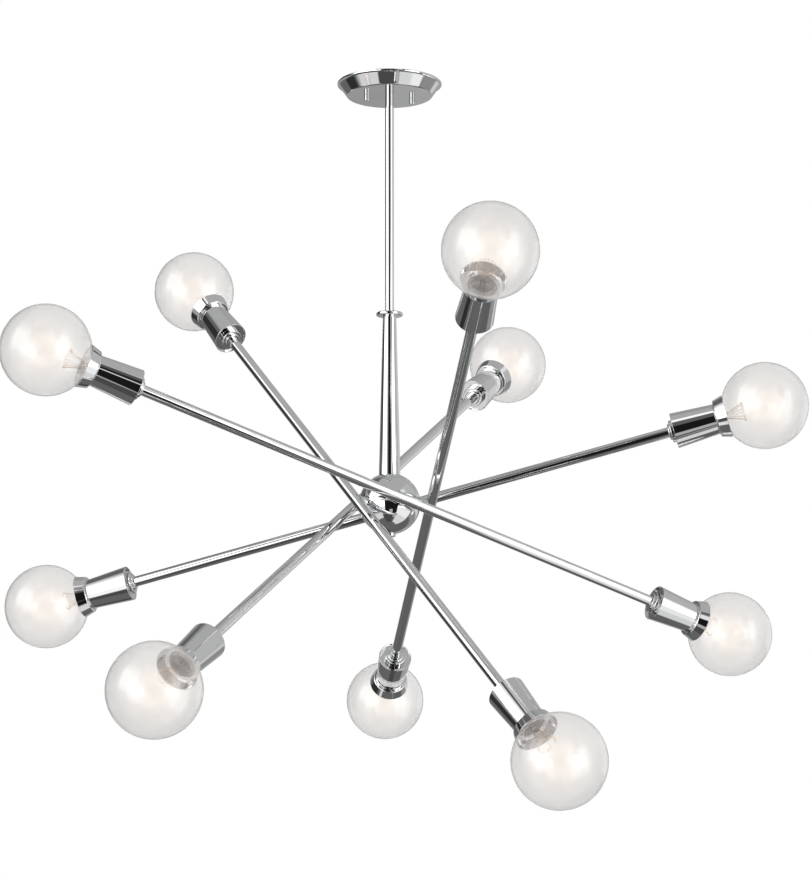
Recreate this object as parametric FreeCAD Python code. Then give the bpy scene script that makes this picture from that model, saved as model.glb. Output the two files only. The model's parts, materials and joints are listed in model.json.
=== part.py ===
"""Ceiling light with five swivelling double-ended arms around a ball hub.

Millimetres, +Z up.  The origin is the centre of the mounting plate's upper face, on the ceiling.
+X runs along the two outlet-box slots.  Each arm is drawn lying level along +X, at the pivot
radius on +Y, and is then raised by its tilt and turned to its own place around the hub.
"""
import FreeCAD, Part
import math
import os
from FreeCAD import Placement, Rotation, Vector

os.makedirs("parts", exist_ok=True)

X_AXIS = Vector(1, 0, 0)
Y_AXIS = Vector(0, 1, 0)
Z_AXIS = Vector(0, 0, 1)

# ---------------------------------------------------------------- driving dimensions: ceiling
DROP = 634.0                  # ceiling to the centre of the ball
CANOPY_HEIGHT = 20.0
CANOPY_RIM_R = 77.5
CANOPY_FACE_R = 63.5
CANOPY_WALL = 1.4
CANOPY_CORNER = 3.0           # rounding between the canopy's side and its face
RIM_BEAD_R = 1.4              # rolled bead around the canopy's upper rim
PLATE_R = 60.0
PLATE_THICKNESS = 2.5
PLATE_WINDOW_R = 28.0         # wiring opening in the middle of the plate
BOX_SLOT_SPACING = 88.9       # outlet-box screws
BOX_SLOT_LENGTH = 12.0
BOX_SLOT_WIDTH = 4.8
NUT_SPACING = 70.0            # the two canopy nuts
NUT_LINE_ANGLE = 15.0         # their line, turned from the outlet-box slots
CANOPY_STUD_D = 4.0
CANOPY_NUT_D = 8.0
CANOPY_NUT_HEIGHT = 9.5

# ---------------------------------------------------------------- driving dimensions: stem, column
STEM_D = 13.2
STEM_BORE_D = 6.4
NECK_D = 9.7                  # threaded necks at both ends of the stem
STEM_NUT_ACROSS = 17.0        # across flats
STEM_NUT_HEIGHT = 4.0
COLUMN_TOP_ABOVE_HUB = 279.0
COLUMN_TOP_D = 20.0
COLUMN_FOOT_D = 31.3
COLUMN_WALL = 2.0
COLUMN_PLUG = 14.0            # solid ends of the column, where its threads are cut
FLANGE_D = 39.5
FLANGE_THICKNESS = 5.6
FLANGE_EDGE = 2.0
LEAD_D = 2.0
LEAD_OFFSET = 1.4             # each lead from the middle of its tube
NECK_PROUD = 3.0              # stem neck above its nut

# ---------------------------------------------------------------- driving dimensions: hub
BALL_R = 45.0
BALL_WALL = 1.6
SEAM_BEVEL = 0.35
CORE_R = 37.5                 # the casting inside the ball
CORE_HEIGHT = 26.0
CHAMBER_R = 14.0              # wiring chamber inside the casting
CHAMBER_HEIGHT = 14.0
UPPER_BOSS_D = 24.0
LOWER_BOSS_D = 18.0
NIPPLE_D = 12.7
NIPPLE_BORE_D = 8.0
NIPPLE_IN_CORE = 30.0
CAP_HEAD_D = 18.0
CAP_HEAD_HEIGHT = 3.6
CAP_SHANK_D = 6.0
CAP_SHANK_LENGTH = 20.0

# ---------------------------------------------------------------- driving dimensions: pivots
PIVOT_R = 61.2                # hub axis to arm axis
JOURNAL_D = 10.0
SHOULDER_D = 15.0
STUD_BORE_D = 5.0
GROOVE_DEPTH = 1.0
GROOVE_WIDTH = 5.0
GROOVE_FROM_AXIS = 27.0
FRICTION_SCREW_D = 4.0

# ---------------------------------------------------------------- driving dimensions: arms
ARM_HALF = 417.0              # pivot to the end of the tube
TUBE_D = 15.5
TUBE_WALL = 1.2
NOSE_D = 24.0                 # small step of the end fitting
NOSE_LENGTH = 3.0
DISC_D = 33.0                 # large step of the end fitting
DISC_LENGTH = 8.0
SPIGOT_LENGTH = 14.0
CUP_START = 8.0               # arm end to the cup's back rim
CUP_LENGTH = 63.0
CUP_BACK_R = 26.2
CUP_MOUTH_R = 22.3
CUP_WALL = 1.2
CUP_RECESS = 3.0
COLLAR_LENGTH = 15.6          # bead to rim
COLLAR_BEAD_PROUD = 0.6       # bead beyond the cup's mouth
COLLAR_BEAD = 1.2
COLLAR_STEP = 4.1             # bead to the collar's back edge, radial
COLLAR_RIM_R = 31.4
COLLAR_WALL = 1.1
COLLAR_CORNER = 2.0
SOCKET_R = 18.2
SOCKET_BASE = 10.0
SOCKET_LENGTH = 46.0
SOCKET_FLANGE = 2.5

# ---------------------------------------------------------------- driving dimensions: lamps
GLOBE_R = 63.5                # 127 mm globe lamp
GLOBE_CENTRE = 144.0          # arm end to the globe's centre
GLASS = 0.6
LAMP_NECK_R = 16.5
NECK_BLEND = 8.0
SCREW_R = 13.1                # medium screw base
SCREW_SKIRT_R = 14.0
SKIRT_LAP = 2.0               # the skirt's lap over the glass foot
SKIRT_WALL = 1.0
CAP_WALL = 1.6                # wall of the lamp's screw base
FLARE_LENGTH = 10.0           # glass foot to full neck
BASE_LENGTH = 26.0
THREAD_PITCH = 3.63
THREAD_DEPTH = 0.6
FILAMENT_STEM = 40.0
FILAMENT_REACH = 30.0
FILAMENT_SPREAD = 13.0
WIRE_R = 0.4

# ---------------------------------------------------------------- clearances
RUNNING = 0.08                # radial, journal in the hub core
THRUST = 0.3                  # between the turning shoulder and the core
BALL_TO_SHOULDER = 0.6        # radial, around the turning shoulder
SCREW_TIP = 0.08              # friction screw's nylon tip to the groove
HOLE = 0.2                    # radial, round parts that pass through plain holes
SEAT = 0.05                   # slip of a spigot in its tube
LAMP_GAP = 0.4                # radial, lamp base in its lampholder

# ---------------------------------------------------------------- arms at rest: place around, tilt
ARMS = {
    "a": (98.0, 29.0),
    "b": (22.0, 19.0),
    "c": (-50.5, 41.8),
    "d": (-121.0, 30.3),
    "e": (169.0, 14.3),
}

# ---------------------------------------------------------------- derived places
TUBE_R = TUBE_D / 2
STEM_R = STEM_D / 2
NECK_R = NECK_D / 2
JOURNAL_R = JOURNAL_D / 2
SHOULDER_R = SHOULDER_D / 2
COLUMN_TOP_Z = -DROP + COLUMN_TOP_ABOVE_HUB
FLANGE_TOP_Z = COLUMN_TOP_Z + FLANGE_THICKNESS
BALL_INNER_R = BALL_R - BALL_WALL
CORE_FACE = CORE_R - 1.5      # flats on the core, where the shoulders turn
CUP_END = CUP_START + CUP_LENGTH
COLLAR_START = CUP_END
COLLAR_BEAD_R = CUP_MOUTH_R + COLLAR_BEAD_PROUD
COLLAR_BACK_R = COLLAR_BEAD_R + COLLAR_STEP
RIM_PLANE = COLLAR_START + COLLAR_LENGTH + COLLAR_BEAD
SOCKET_START = CUP_START + CUP_RECESS + CUP_WALL
SOCKET_END = SOCKET_START + SOCKET_LENGTH
LAMP_TIP = SOCKET_START + SOCKET_BASE
LAMP_SKIRT_END = LAMP_TIP + BASE_LENGTH
GLASS_FOOT = LAMP_SKIRT_END - SKIRT_LAP
GLASS_FOOT_R = SCREW_SKIRT_R - SKIRT_WALL


# ================================================================ drawing helpers
def rounded_wire(points, place):
    """Closed wire through (along, out) points; a third value rounds that corner."""
    corners = [Vector(p[0], p[1], 0) for p in points]
    rounds = [p[2] if len(p) > 2 else 0.0 for p in points]
    count = len(corners)
    starts, ends, arcs = [], [], []
    for i, corner in enumerate(corners):
        if rounds[i] == 0.0:
            starts.append(corner)
            ends.append(corner)
            arcs.append(None)
            continue
        back = (corners[i - 1] - corner).normalize()
        ahead = (corners[(i + 1) % count] - corner).normalize()
        half = back.getAngle(ahead) / 2
        middle = (back + ahead).normalize()
        reach = rounds[i] / math.tan(half)
        centre = corner + middle * (rounds[i] / math.sin(half))
        starts.append(corner + back * reach)
        ends.append(corner + ahead * reach)
        arcs.append(centre - middle * rounds[i])
    edges = []
    for i in range(count):
        if arcs[i] is not None:
            edges.append(Part.Arc(place(starts[i]), place(arcs[i]), place(ends[i])).toShape())
        edges.append(Part.LineSegment(place(ends[i]), place(starts[(i + 1) % count])).toShape())
    return Part.Wire(edges)


def turned_upright(points):
    """Solid turned about Z from (height, radius) points."""
    wire = rounded_wire(points, lambda p: Vector(p.y, 0, p.x))
    return Part.Face(wire).revolve(Vector(0, 0, 0), Z_AXIS, 360)


def turned_along_arm(points):
    """Solid turned about X from (along, radius) points, with 0 at the end of the arm's tube."""
    wire = rounded_wire(points, lambda p: Vector(p.x, p.y, 0))
    solid = Part.Face(wire).revolve(Vector(0, 0, 0), X_AXIS, 360)
    solid.translate(Vector(ARM_HALF, 0, 0))
    return solid


def rod(radius, start, end):
    """Round rod between two points."""
    return Part.makeCylinder(radius, (end - start).Length, start, end - start)


def upright_rod(radius, low, high, x=0.0, y=0.0):
    return rod(radius, Vector(x, y, low), Vector(x, y, high))


def at_hub(shape):
    """A shape drawn around the hub's centre, moved to its height."""
    shape.translate(Vector(0, 0, -DROP))
    return shape


def outward(azimuth):
    """Level unit vector from the hub towards a pivot; 0 looks along -Y and 90 along +X."""
    turn = math.radians(azimuth)
    return Vector(math.sin(turn), -math.cos(turn), 0)


def fused(shapes):
    return shapes[0].multiFuse(shapes[1:]).removeSplitter()


def save(name, solids):
    """Write one node; each entry stays a solid of its own."""
    shape = solids[0] if len(solids) == 1 else Part.makeCompound(solids)
    if not shape.isValid():
        raise ValueError(name + " is not a valid solid")
    shape.exportStep("parts/" + name + ".step")
    print("%-22s %d solid(s) %10.0f mm3" % (name, len(shape.Solids), shape.Volume))


# ================================================================ ceiling group
def nut_points():
    """Centres of the two canopy studs."""
    turn = math.radians(NUT_LINE_ANGLE)
    reach = Vector(math.cos(turn), math.sin(turn), 0) * (NUT_SPACING / 2)
    return [reach * -1, reach]


def make_mounting_plate():
    plate = upright_rod(PLATE_R, -PLATE_THICKNESS, 0)
    cuts = [upright_rod(PLATE_WINDOW_R, -PLATE_THICKNESS - 1, 1)]
    half_run = (BOX_SLOT_LENGTH - BOX_SLOT_WIDTH) / 2
    for side in (-1, 1):
        middle = side * BOX_SLOT_SPACING / 2
        for end in (-half_run, half_run):
            cuts.append(upright_rod(BOX_SLOT_WIDTH / 2, -PLATE_THICKNESS - 1, 1, middle + end))
        corner = Vector(middle - half_run, -BOX_SLOT_WIDTH / 2, -PLATE_THICKNESS - 1)
        cuts.append(Part.makeBox(2 * half_run, BOX_SLOT_WIDTH, PLATE_THICKNESS + 2, corner))
    for p in nut_points():
        cuts.append(upright_rod(CANOPY_STUD_D / 2, -PLATE_THICKNESS - 1, 1, p.x, p.y))
    return plate.cut(fused(cuts))


def make_canopy():
    slope = (CANOPY_RIM_R - CANOPY_FACE_R) / CANOPY_HEIGHT
    inner_face_r = CANOPY_FACE_R + slope * CANOPY_WALL - CANOPY_WALL
    shell = turned_upright([
        (-CANOPY_HEIGHT, 0),
        (-CANOPY_HEIGHT, CANOPY_FACE_R, CANOPY_CORNER),
        (0, CANOPY_RIM_R, RIM_BEAD_R / 2),
        (0, CANOPY_RIM_R - RIM_BEAD_R),
        (-CANOPY_HEIGHT + CANOPY_WALL, inner_face_r, CANOPY_CORNER - CANOPY_WALL / 2),
        (-CANOPY_HEIGHT + CANOPY_WALL, 0),
    ])
    bead = Part.makeTorus(CANOPY_RIM_R - RIM_BEAD_R / 2, RIM_BEAD_R, Vector(0, 0, -RIM_BEAD_R))
    holes = [upright_rod(NECK_R + HOLE, -CANOPY_HEIGHT - 1, 0)]
    for p in nut_points():
        holes.append(upright_rod(CANOPY_STUD_D / 2 + HOLE, -CANOPY_HEIGHT - 1, 0, p.x, p.y))
    return fused([shell, bead]).cut(fused(holes))


def make_canopy_stud(p):
    return upright_rod(CANOPY_STUD_D / 2, -CANOPY_HEIGHT - CANOPY_NUT_HEIGHT + 2, 0, p.x, p.y)


def make_canopy_nut(p):
    low = -CANOPY_HEIGHT - CANOPY_NUT_HEIGHT
    nut = turned_upright([
        (low, 0),
        (low, CANOPY_NUT_D / 2, 0.8),
        (-CANOPY_HEIGHT, CANOPY_NUT_D / 2, 0.3),
        (-CANOPY_HEIGHT, 0),
    ])
    nut.translate(Vector(p.x, p.y, 0))
    return nut.cut(upright_rod(CANOPY_STUD_D / 2, low + 2, 0, p.x, p.y))


def make_stem_nut():
    low = -CANOPY_HEIGHT + CANOPY_WALL
    corner = Vector(STEM_NUT_ACROSS / math.sqrt(3), 0, low)
    ring = [Rotation(Z_AXIS, 60 * i).multVec(corner) for i in range(7)]
    hexagon = Part.Face(Part.makePolygon(ring)).extrude(Vector(0, 0, STEM_NUT_HEIGHT))
    return hexagon.cut(upright_rod(NECK_R, low - 1, low + STEM_NUT_HEIGHT + 1))


# ================================================================ stem and column
def make_stem():
    neck_top = -CANOPY_HEIGHT + CANOPY_WALL + STEM_NUT_HEIGHT + NECK_PROUD
    neck_foot = COLUMN_TOP_Z - COLUMN_PLUG + 2
    return turned_upright([
        (neck_foot, STEM_BORE_D / 2),
        (neck_foot, NECK_R, 0.5),
        (COLUMN_TOP_Z, NECK_R),
        (COLUMN_TOP_Z, STEM_R),
        (-CANOPY_HEIGHT, STEM_R),
        (-CANOPY_HEIGHT, NECK_R),
        (neck_top, NECK_R, 0.5),
        (neck_top, STEM_BORE_D / 2),
    ])


def make_column_flange():
    return turned_upright([
        (COLUMN_TOP_Z, STEM_R + HOLE),
        (COLUMN_TOP_Z, FLANGE_D / 2, FLANGE_EDGE),
        (FLANGE_TOP_Z, FLANGE_D / 2, FLANGE_EDGE),
        (FLANGE_TOP_Z, STEM_R + HOLE),
    ])


def make_column():
    foot_r = COLUMN_FOOT_D / 2
    foot_z = math.sqrt(BALL_R ** 2 - foot_r ** 2)
    seat_z = foot_z - 2
    top_z = COLUMN_TOP_ABOVE_HUB
    slope = (foot_r - COLUMN_TOP_D / 2) / (top_z - foot_z)
    plug_low = BALL_R + COLUMN_PLUG
    plug_high = top_z - COLUMN_PLUG

    def inner(z):
        return COLUMN_TOP_D / 2 + slope * (top_z - z) - COLUMN_WALL

    body = turned_upright([
        (seat_z, 0),
        (seat_z, foot_r),
        (foot_z, foot_r),
        (top_z, COLUMN_TOP_D / 2),
        (top_z, 0),
    ])
    hollow = turned_upright([(plug_low, 0), (plug_low, inner(plug_low)),
                             (plug_high, inner(plug_high)), (plug_high, 0)])
    top_hole = upright_rod(NECK_R, plug_high - 1, top_z + 1)
    foot_hole = upright_rod(NIPPLE_D / 2, seat_z - 10, plug_low + 1)
    body = body.cut(fused([hollow, top_hole, foot_hole]))
    return at_hub(body.cut(Part.makeSphere(BALL_R)))


def make_hub_nipple():
    top = BALL_R + COLUMN_PLUG
    foot = top - NIPPLE_IN_CORE - COLUMN_PLUG
    tube = upright_rod(NIPPLE_D / 2, foot, top)
    return at_hub(tube.cut(upright_rod(NIPPLE_BORE_D / 2, foot - 1, top + 1)))


def make_supply_lead(side):
    top = -CANOPY_HEIGHT + CANOPY_WALL + STEM_NUT_HEIGHT + NECK_PROUD
    return upright_rod(LEAD_D / 2, -DROP - CHAMBER_HEIGHT / 2, top, side * LEAD_OFFSET)


# ================================================================ hub
def shoulder_holes(radius):
    """Round passages for the five arms, all the way out from the hub's centre."""
    origin = Vector(0, 0, 0)
    return [rod(radius, origin, outward(azimuth) * BALL_R * 2) for azimuth, _ in ARMS.values()]


def make_ball_half(up):
    sphere = Part.makeSphere(BALL_R).cut(Part.makeSphere(BALL_INNER_R))
    side = 1 if up else -1
    keep = upright_rod(BALL_R + 1, 0, side * (BALL_R + 1))
    bevel = turned_upright([
        (0, BALL_R - SEAM_BEVEL),
        (0, BALL_R + 1),
        (side * (SEAM_BEVEL + 1), BALL_R + 1),
    ])
    axial_r = (NIPPLE_D if up else CAP_SHANK_D) / 2 + HOLE
    axial = upright_rod(axial_r, 0, side * (BALL_R + 1))
    holes = shoulder_holes(SHOULDER_R + BALL_TO_SHOULDER)
    return at_hub(sphere.common(keep).cut(fused([bevel, axial] + holes)))


def make_hub_core():
    half = CORE_HEIGHT / 2
    body = fused([
        turned_upright([(-half, 0), (-half, CORE_R, 1.0), (half, CORE_R, 1.0), (half, 0)]),
        upright_rod(UPPER_BOSS_D / 2, half - 1, BALL_R),
        upright_rod(LOWER_BOSS_D / 2, -BALL_R, -half + 1),
    ]).common(Part.makeSphere(BALL_INNER_R))
    nipple_foot = BALL_R - NIPPLE_IN_CORE
    cuts = [
        upright_rod(CHAMBER_R, -CHAMBER_HEIGHT / 2, CHAMBER_HEIGHT / 2),
        upright_rod(NIPPLE_BORE_D / 2, 0, BALL_R),
        upright_rod(NIPPLE_D / 2, nipple_foot, BALL_R),
        upright_rod(CAP_SHANK_D / 2, -BALL_R, -BALL_R + CAP_SHANK_LENGTH + 2),
    ]
    cuts += shoulder_holes(JOURNAL_R + RUNNING)
    for azimuth, _ in ARMS.values():
        way = outward(azimuth)
        cuts.append(rod(SHOULDER_R + BALL_TO_SHOULDER, way * CORE_FACE, way * BALL_R))
        groove = way * GROOVE_FROM_AXIS
        cuts.append(upright_rod(FRICTION_SCREW_D / 2, -half - 1, 0, groove.x, groove.y))
    return at_hub(body.cut(fused(cuts)))


def make_friction_screw(azimuth):
    """Grub screw, hexagon socket below and nylon tip in the stud's groove above."""
    way = outward(azimuth) * GROOVE_FROM_AXIS
    tip = -(JOURNAL_R - GROOVE_DEPTH) - SCREW_TIP
    low = -CORE_HEIGHT / 2
    screw = upright_rod(FRICTION_SCREW_D / 2, low, tip, way.x, way.y)
    return at_hub(screw.cut(upright_rod(FRICTION_SCREW_D / 4, low, low + 3, way.x, way.y)))


def make_hub_cap_screw():
    seat = -math.sqrt(BALL_R ** 2 - (CAP_HEAD_D / 2) ** 2)
    low = -BALL_R - CAP_HEAD_HEIGHT
    head = turned_upright([
        (low, 0),
        (low, CAP_HEAD_D / 2, CAP_HEAD_HEIGHT * 0.8),
        (seat, CAP_HEAD_D / 2),
        (seat, 0),
    ]).cut(Part.makeSphere(BALL_R))
    shank = upright_rod(CAP_SHANK_D / 2, low + 1, -BALL_R + CAP_SHANK_LENGTH)
    return at_hub(fused([head, shank]))


# ================================================================ one arm, drawn level along +X
def make_pivot_stud():
    """Hollow journal that turns in the core, with the shoulder that carries the tube."""
    start = CHAMBER_R + 2
    shoulder = CORE_FACE + THRUST
    groove_low = GROOVE_FROM_AXIS - GROOVE_WIDTH / 2
    groove_high = GROOVE_FROM_AXIS + GROOVE_WIDTH / 2
    profile = [
        (start, STUD_BORE_D / 2),
        (start, JOURNAL_R, 0.5),
        (groove_low, JOURNAL_R),
        (groove_low, JOURNAL_R - GROOVE_DEPTH),
        (groove_high, JOURNAL_R - GROOVE_DEPTH),
        (groove_high, JOURNAL_R),
        (shoulder, JOURNAL_R),
        (shoulder, SHOULDER_R, 0.5),
        (PIVOT_R, SHOULDER_R),
        (PIVOT_R, STUD_BORE_D / 2),
    ]
    stud = turned_upright(profile)
    stud.rotate(Vector(0, 0, 0), X_AXIS, -90)
    saddle = rod(TUBE_R, Vector(-TUBE_D, PIVOT_R, 0), Vector(TUBE_D, PIVOT_R, 0))
    return stud.cut(saddle)


def make_tube():
    start = Vector(-ARM_HALF, PIVOT_R, 0)
    end = Vector(ARM_HALF, PIVOT_R, 0)
    tube = rod(TUBE_R, start, end).cut(rod(TUBE_R - TUBE_WALL, start, end))
    wire_hole = rod(STUD_BORE_D / 2, Vector(0, 0, 0), Vector(0, PIVOT_R, 0))
    return tube.cut(wire_hole)


def make_end_fitting():
    """Turned piece: spigot in the tube, nose, disc and threaded neck that carries the cup."""
    disc_end = NOSE_LENGTH + DISC_LENGTH
    return turned_along_arm([
        (-SPIGOT_LENGTH, STEM_BORE_D / 2),
        (-SPIGOT_LENGTH, TUBE_R - TUBE_WALL - SEAT, 0.6),
        (0, TUBE_R - TUBE_WALL - SEAT),
        (0, NOSE_D / 2, 1.3),
        (NOSE_LENGTH, NOSE_D / 2),
        (NOSE_LENGTH, DISC_D / 2, 1.3),
        (disc_end, DISC_D / 2, 0.4),
        (disc_end, NECK_R),
        (SOCKET_START + SOCKET_BASE / 2, NECK_R),
        (SOCKET_START + SOCKET_BASE / 2, STEM_BORE_D / 2),
    ])


def cup_inner(along):
    """Inside radius of the tapered cup at a place along the arm."""
    slope = (CUP_BACK_R - CUP_MOUTH_R) / CUP_LENGTH
    return CUP_BACK_R - slope * (along - CUP_START) - CUP_WALL


def in_cup(low, high):
    """Radius of a plain round piece that slips into the cup between two places."""
    return min(cup_inner(low), cup_inner(high)) - SEAT


def make_cup():
    back = CUP_START + CUP_RECESS
    return turned_along_arm([
        (back, NECK_R + HOLE),
        (back, cup_inner(back)),
        (CUP_START, cup_inner(CUP_START)),
        (CUP_START, CUP_BACK_R, 0.7),
        (CUP_END, CUP_MOUTH_R, 0.4),
        (CUP_END, cup_inner(CUP_END)),
        (back + CUP_WALL, cup_inner(back + CUP_WALL)),
        (back + CUP_WALL, NECK_R + HOLE),
    ])


def make_collar():
    sleeve_r = in_cup(SOCKET_END, CUP_END)
    back = COLLAR_START + COLLAR_BEAD
    return turned_along_arm([
        (SOCKET_END, sleeve_r - COLLAR_WALL),
        (SOCKET_END, sleeve_r),
        (COLLAR_START, sleeve_r),
        (COLLAR_START, COLLAR_BEAD_R, 0.4),
        (back, COLLAR_BEAD_R),
        (back, COLLAR_BACK_R, COLLAR_CORNER),
        (RIM_PLANE, COLLAR_RIM_R, 0.3),
        (RIM_PLANE, COLLAR_RIM_R - COLLAR_WALL, 0.3),
        (back + COLLAR_WALL, COLLAR_BACK_R - COLLAR_WALL, COLLAR_CORNER - COLLAR_WALL / 2),
        (back + COLLAR_WALL, sleeve_r - COLLAR_WALL),
    ])


def make_lampholder():
    """Ceramic lampholder with its two leads, which run back through the neck into the tube."""
    base_end = SOCKET_START + SOCKET_BASE
    bore = SCREW_R + LAMP_GAP
    mouth = SCREW_SKIRT_R + LAMP_GAP
    step = SOCKET_END - SOCKET_FLANGE
    flange_r = in_cup(step, CUP_END)
    body = turned_along_arm([
        (SOCKET_START, NECK_R),
        (SOCKET_START, SOCKET_R, 2.0),
        (step, SOCKET_R),
        (step, flange_r),
        (SOCKET_END, flange_r),
        (SOCKET_END, LAMP_NECK_R + LAMP_GAP),
        (LAMP_SKIRT_END + 1, LAMP_NECK_R + LAMP_GAP),
        (LAMP_SKIRT_END - 5, mouth),
        (LAMP_SKIRT_END - 6, bore),
        (base_end, bore),
        (base_end, 0),
        (SOCKET_START + SOCKET_BASE / 2, 0),
        (SOCKET_START + SOCKET_BASE / 2, NECK_R),
    ])
    leads = []
    for side in (-1, 1):
        y = side * LEAD_OFFSET
        inner_end = ARM_HALF + SOCKET_START + SOCKET_BASE / 2
        leads.append(rod(LEAD_D / 2, Vector(STUD_BORE_D, y, 0), Vector(inner_end + 1, y, 0)))
    return fused([body] + leads)


def make_globe():
    """Thin glass: a sphere that runs into its neck by a hollow blend."""
    outer = glass_body(GLOBE_R, LAMP_NECK_R, GLASS_FOOT_R, NECK_BLEND)
    inner = glass_body(GLOBE_R - GLASS, LAMP_NECK_R - GLASS, GLASS_FOOT_R - GLASS,
                       NECK_BLEND + GLASS)
    return outer.cut(inner)


def glass_body(sphere_r, neck_r, foot_r, blend):
    """Solid of the lamp's glass: foot in the base, neck, concave blend and sphere."""
    reach = sphere_r + blend
    back = math.sqrt(reach ** 2 - (neck_r + blend) ** 2)
    blend_start = GLOBE_CENTRE - back
    touch = sphere_r / reach
    sphere_point = Vector(GLOBE_CENTRE - back * touch, (neck_r + blend) * touch, 0)
    centre = Vector(blend_start, neck_r + blend, 0)
    toward = (sphere_point - centre).normalize()
    halfway = (toward + Vector(0, -1, 0)).normalize()
    foot = GLASS_FOOT
    side = Vector(GLOBE_CENTRE, sphere_r, 0)
    far = Vector(GLOBE_CENTRE + sphere_r, 0, 0)
    quarter = Vector(math.cos(math.pi / 4), math.sin(math.pi / 4), 0) * sphere_r
    middle = Vector(GLOBE_CENTRE, 0, 0)
    way_up = (sphere_point - middle).normalize() + Vector(0, 1, 0)
    edges = [
        Part.LineSegment(Vector(foot, 0, 0), Vector(foot, foot_r, 0)),
        Part.LineSegment(Vector(foot, foot_r, 0), Vector(foot + FLARE_LENGTH, neck_r, 0)),
        Part.LineSegment(Vector(foot + FLARE_LENGTH, neck_r, 0), Vector(blend_start, neck_r, 0)),
        Part.Arc(Vector(blend_start, neck_r, 0), centre + halfway * blend, sphere_point),
        Part.Arc(sphere_point, middle + way_up.normalize() * sphere_r, side),
        Part.Arc(side, middle + quarter, far),
        Part.LineSegment(far, Vector(foot, 0, 0)),
    ]
    wire = Part.Wire([edge.toShape() for edge in edges])
    solid = Part.Face(wire).revolve(Vector(0, 0, 0), X_AXIS, 360)
    solid.translate(Vector(ARM_HALF, 0, 0))
    return solid


def make_lamp_base():
    """Screw base: contact, insulator cone, rolled thread and skirt around the glass foot."""
    tip = LAMP_TIP
    points = [
        (tip, 0),
        (tip, 4.5, 0.8),
        (tip + 1.5, 5.0),
        (tip + 4.0, SCREW_R - 1.5),
    ]
    along = tip + 4.5
    thread_end = LAMP_SKIRT_END - 6
    while along + THREAD_PITCH < thread_end:
        points.append((along, SCREW_R - THREAD_DEPTH))
        points.append((along + THREAD_PITCH / 2, SCREW_R, THREAD_PITCH / 4))
        along += THREAD_PITCH
    glass_slope = (LAMP_NECK_R - GLASS_FOOT_R) / FLARE_LENGTH
    bore = SCREW_R - CAP_WALL
    points += [
        (along, SCREW_R - THREAD_DEPTH),
        (GLASS_FOOT - 1, SCREW_SKIRT_R),
        (LAMP_SKIRT_END, SCREW_SKIRT_R),
        (LAMP_SKIRT_END, GLASS_FOOT_R + glass_slope * SKIRT_LAP),
        (GLASS_FOOT, GLASS_FOOT_R),
        (GLASS_FOOT, bore),
        (tip + 6.0, bore),
        (tip + 6.0, 0),
    ]
    return turned_along_arm(points)


def make_filament():
    """Glass stem with two support wires and the filament across their ends."""
    foot = GLASS_FOOT
    top = foot + FILAMENT_STEM
    stem = turned_along_arm([
        (foot, 0),
        (foot, GLASS_FOOT_R - GLASS),
        (foot + 1, GLASS_FOOT_R - GLASS, 0.5),
        (foot + 3, 6.0),
        (foot + 10, 4.5),
        (top - 4, 3.2),
        (top, 3.2, 1.2),
        (top, 0),
    ])
    bottom = Vector(ARM_HALF + top - 2, 0, 0)
    left = bottom + Vector(FILAMENT_REACH, -FILAMENT_SPREAD, 0)
    right = bottom + Vector(FILAMENT_REACH, FILAMENT_SPREAD, 0)
    crown = bottom + Vector(FILAMENT_REACH * 1.3, 0, 0)
    pieces = [stem]
    for start, end in ((bottom, left), (bottom, right), (left, crown), (right, crown)):
        pieces.append(rod(WIRE_R, start, end))
        pieces.append(Part.makeSphere(WIRE_R, end))
    return fused(pieces)


def both_ends(solid):
    """A lamp piece drawn at the +X end, and its twin at the -X end, on the arm's axis."""
    far = solid.copy()
    far.rotate(Vector(0, 0, 0), Z_AXIS, 180)
    pair = [solid, far]
    for piece in pair:
        piece.translate(Vector(0, PIVOT_R, 0))
    return pair


def arm_pieces():
    """All the pieces of one arm, lying level."""
    return {
        "pivot_stud": [make_pivot_stud()],
        "tube": [make_tube()],
        "end_fittings": both_ends(make_end_fitting()),
        "cups": both_ends(make_cup()),
        "collars": both_ends(make_collar()),
        "lampholders": both_ends(make_lampholder()),
        "globes": both_ends(make_globe()),
        "lamp_bases": both_ends(make_lamp_base()),
        "filaments": both_ends(make_filament()),
    }


def arm_placement(azimuth, tilt):
    """+X end raised by the tilt, +Y turned to the pivot's place, moved to the hub's height."""
    raised = Placement(Vector(0, 0, 0), Rotation(Y_AXIS, -tilt))
    turned = Placement(Vector(0, 0, -DROP), Rotation(Z_AXIS, azimuth + 180))
    return turned.multiply(raised)


# ================================================================ write every node
save("mounting_plate", [make_mounting_plate()])
save("canopy", [make_canopy()])
save("canopy_studs", [make_canopy_stud(p) for p in nut_points()])
save("canopy_nuts", [make_canopy_nut(p) for p in nut_points()])
save("stem_nut", [make_stem_nut()])
save("stem", [make_stem()])
save("column_flange", [make_column_flange()])
save("column", [make_column()])
save("hub_nipple", [make_hub_nipple()])
save("supply_leads", [make_supply_lead(side) for side in (-1, 1)])
save("ball_upper", [make_ball_half(True)])
save("ball_lower", [make_ball_half(False)])
save("hub_core", [make_hub_core()])
save("friction_screws", [make_friction_screw(azimuth) for azimuth, _ in ARMS.values()])
save("hub_cap_screw", [make_hub_cap_screw()])

LEVEL_ARM = arm_pieces()
for letter, (azimuth, tilt) in ARMS.items():
    placement = arm_placement(azimuth, tilt)
    for piece, solids in LEVEL_ARM.items():
        placed = []
        for solid in solids:
            copy = solid.copy()
            copy.Placement = placement.multiply(copy.Placement)
            placed.append(copy)
        save("arm_" + letter + "_" + piece, placed)
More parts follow.
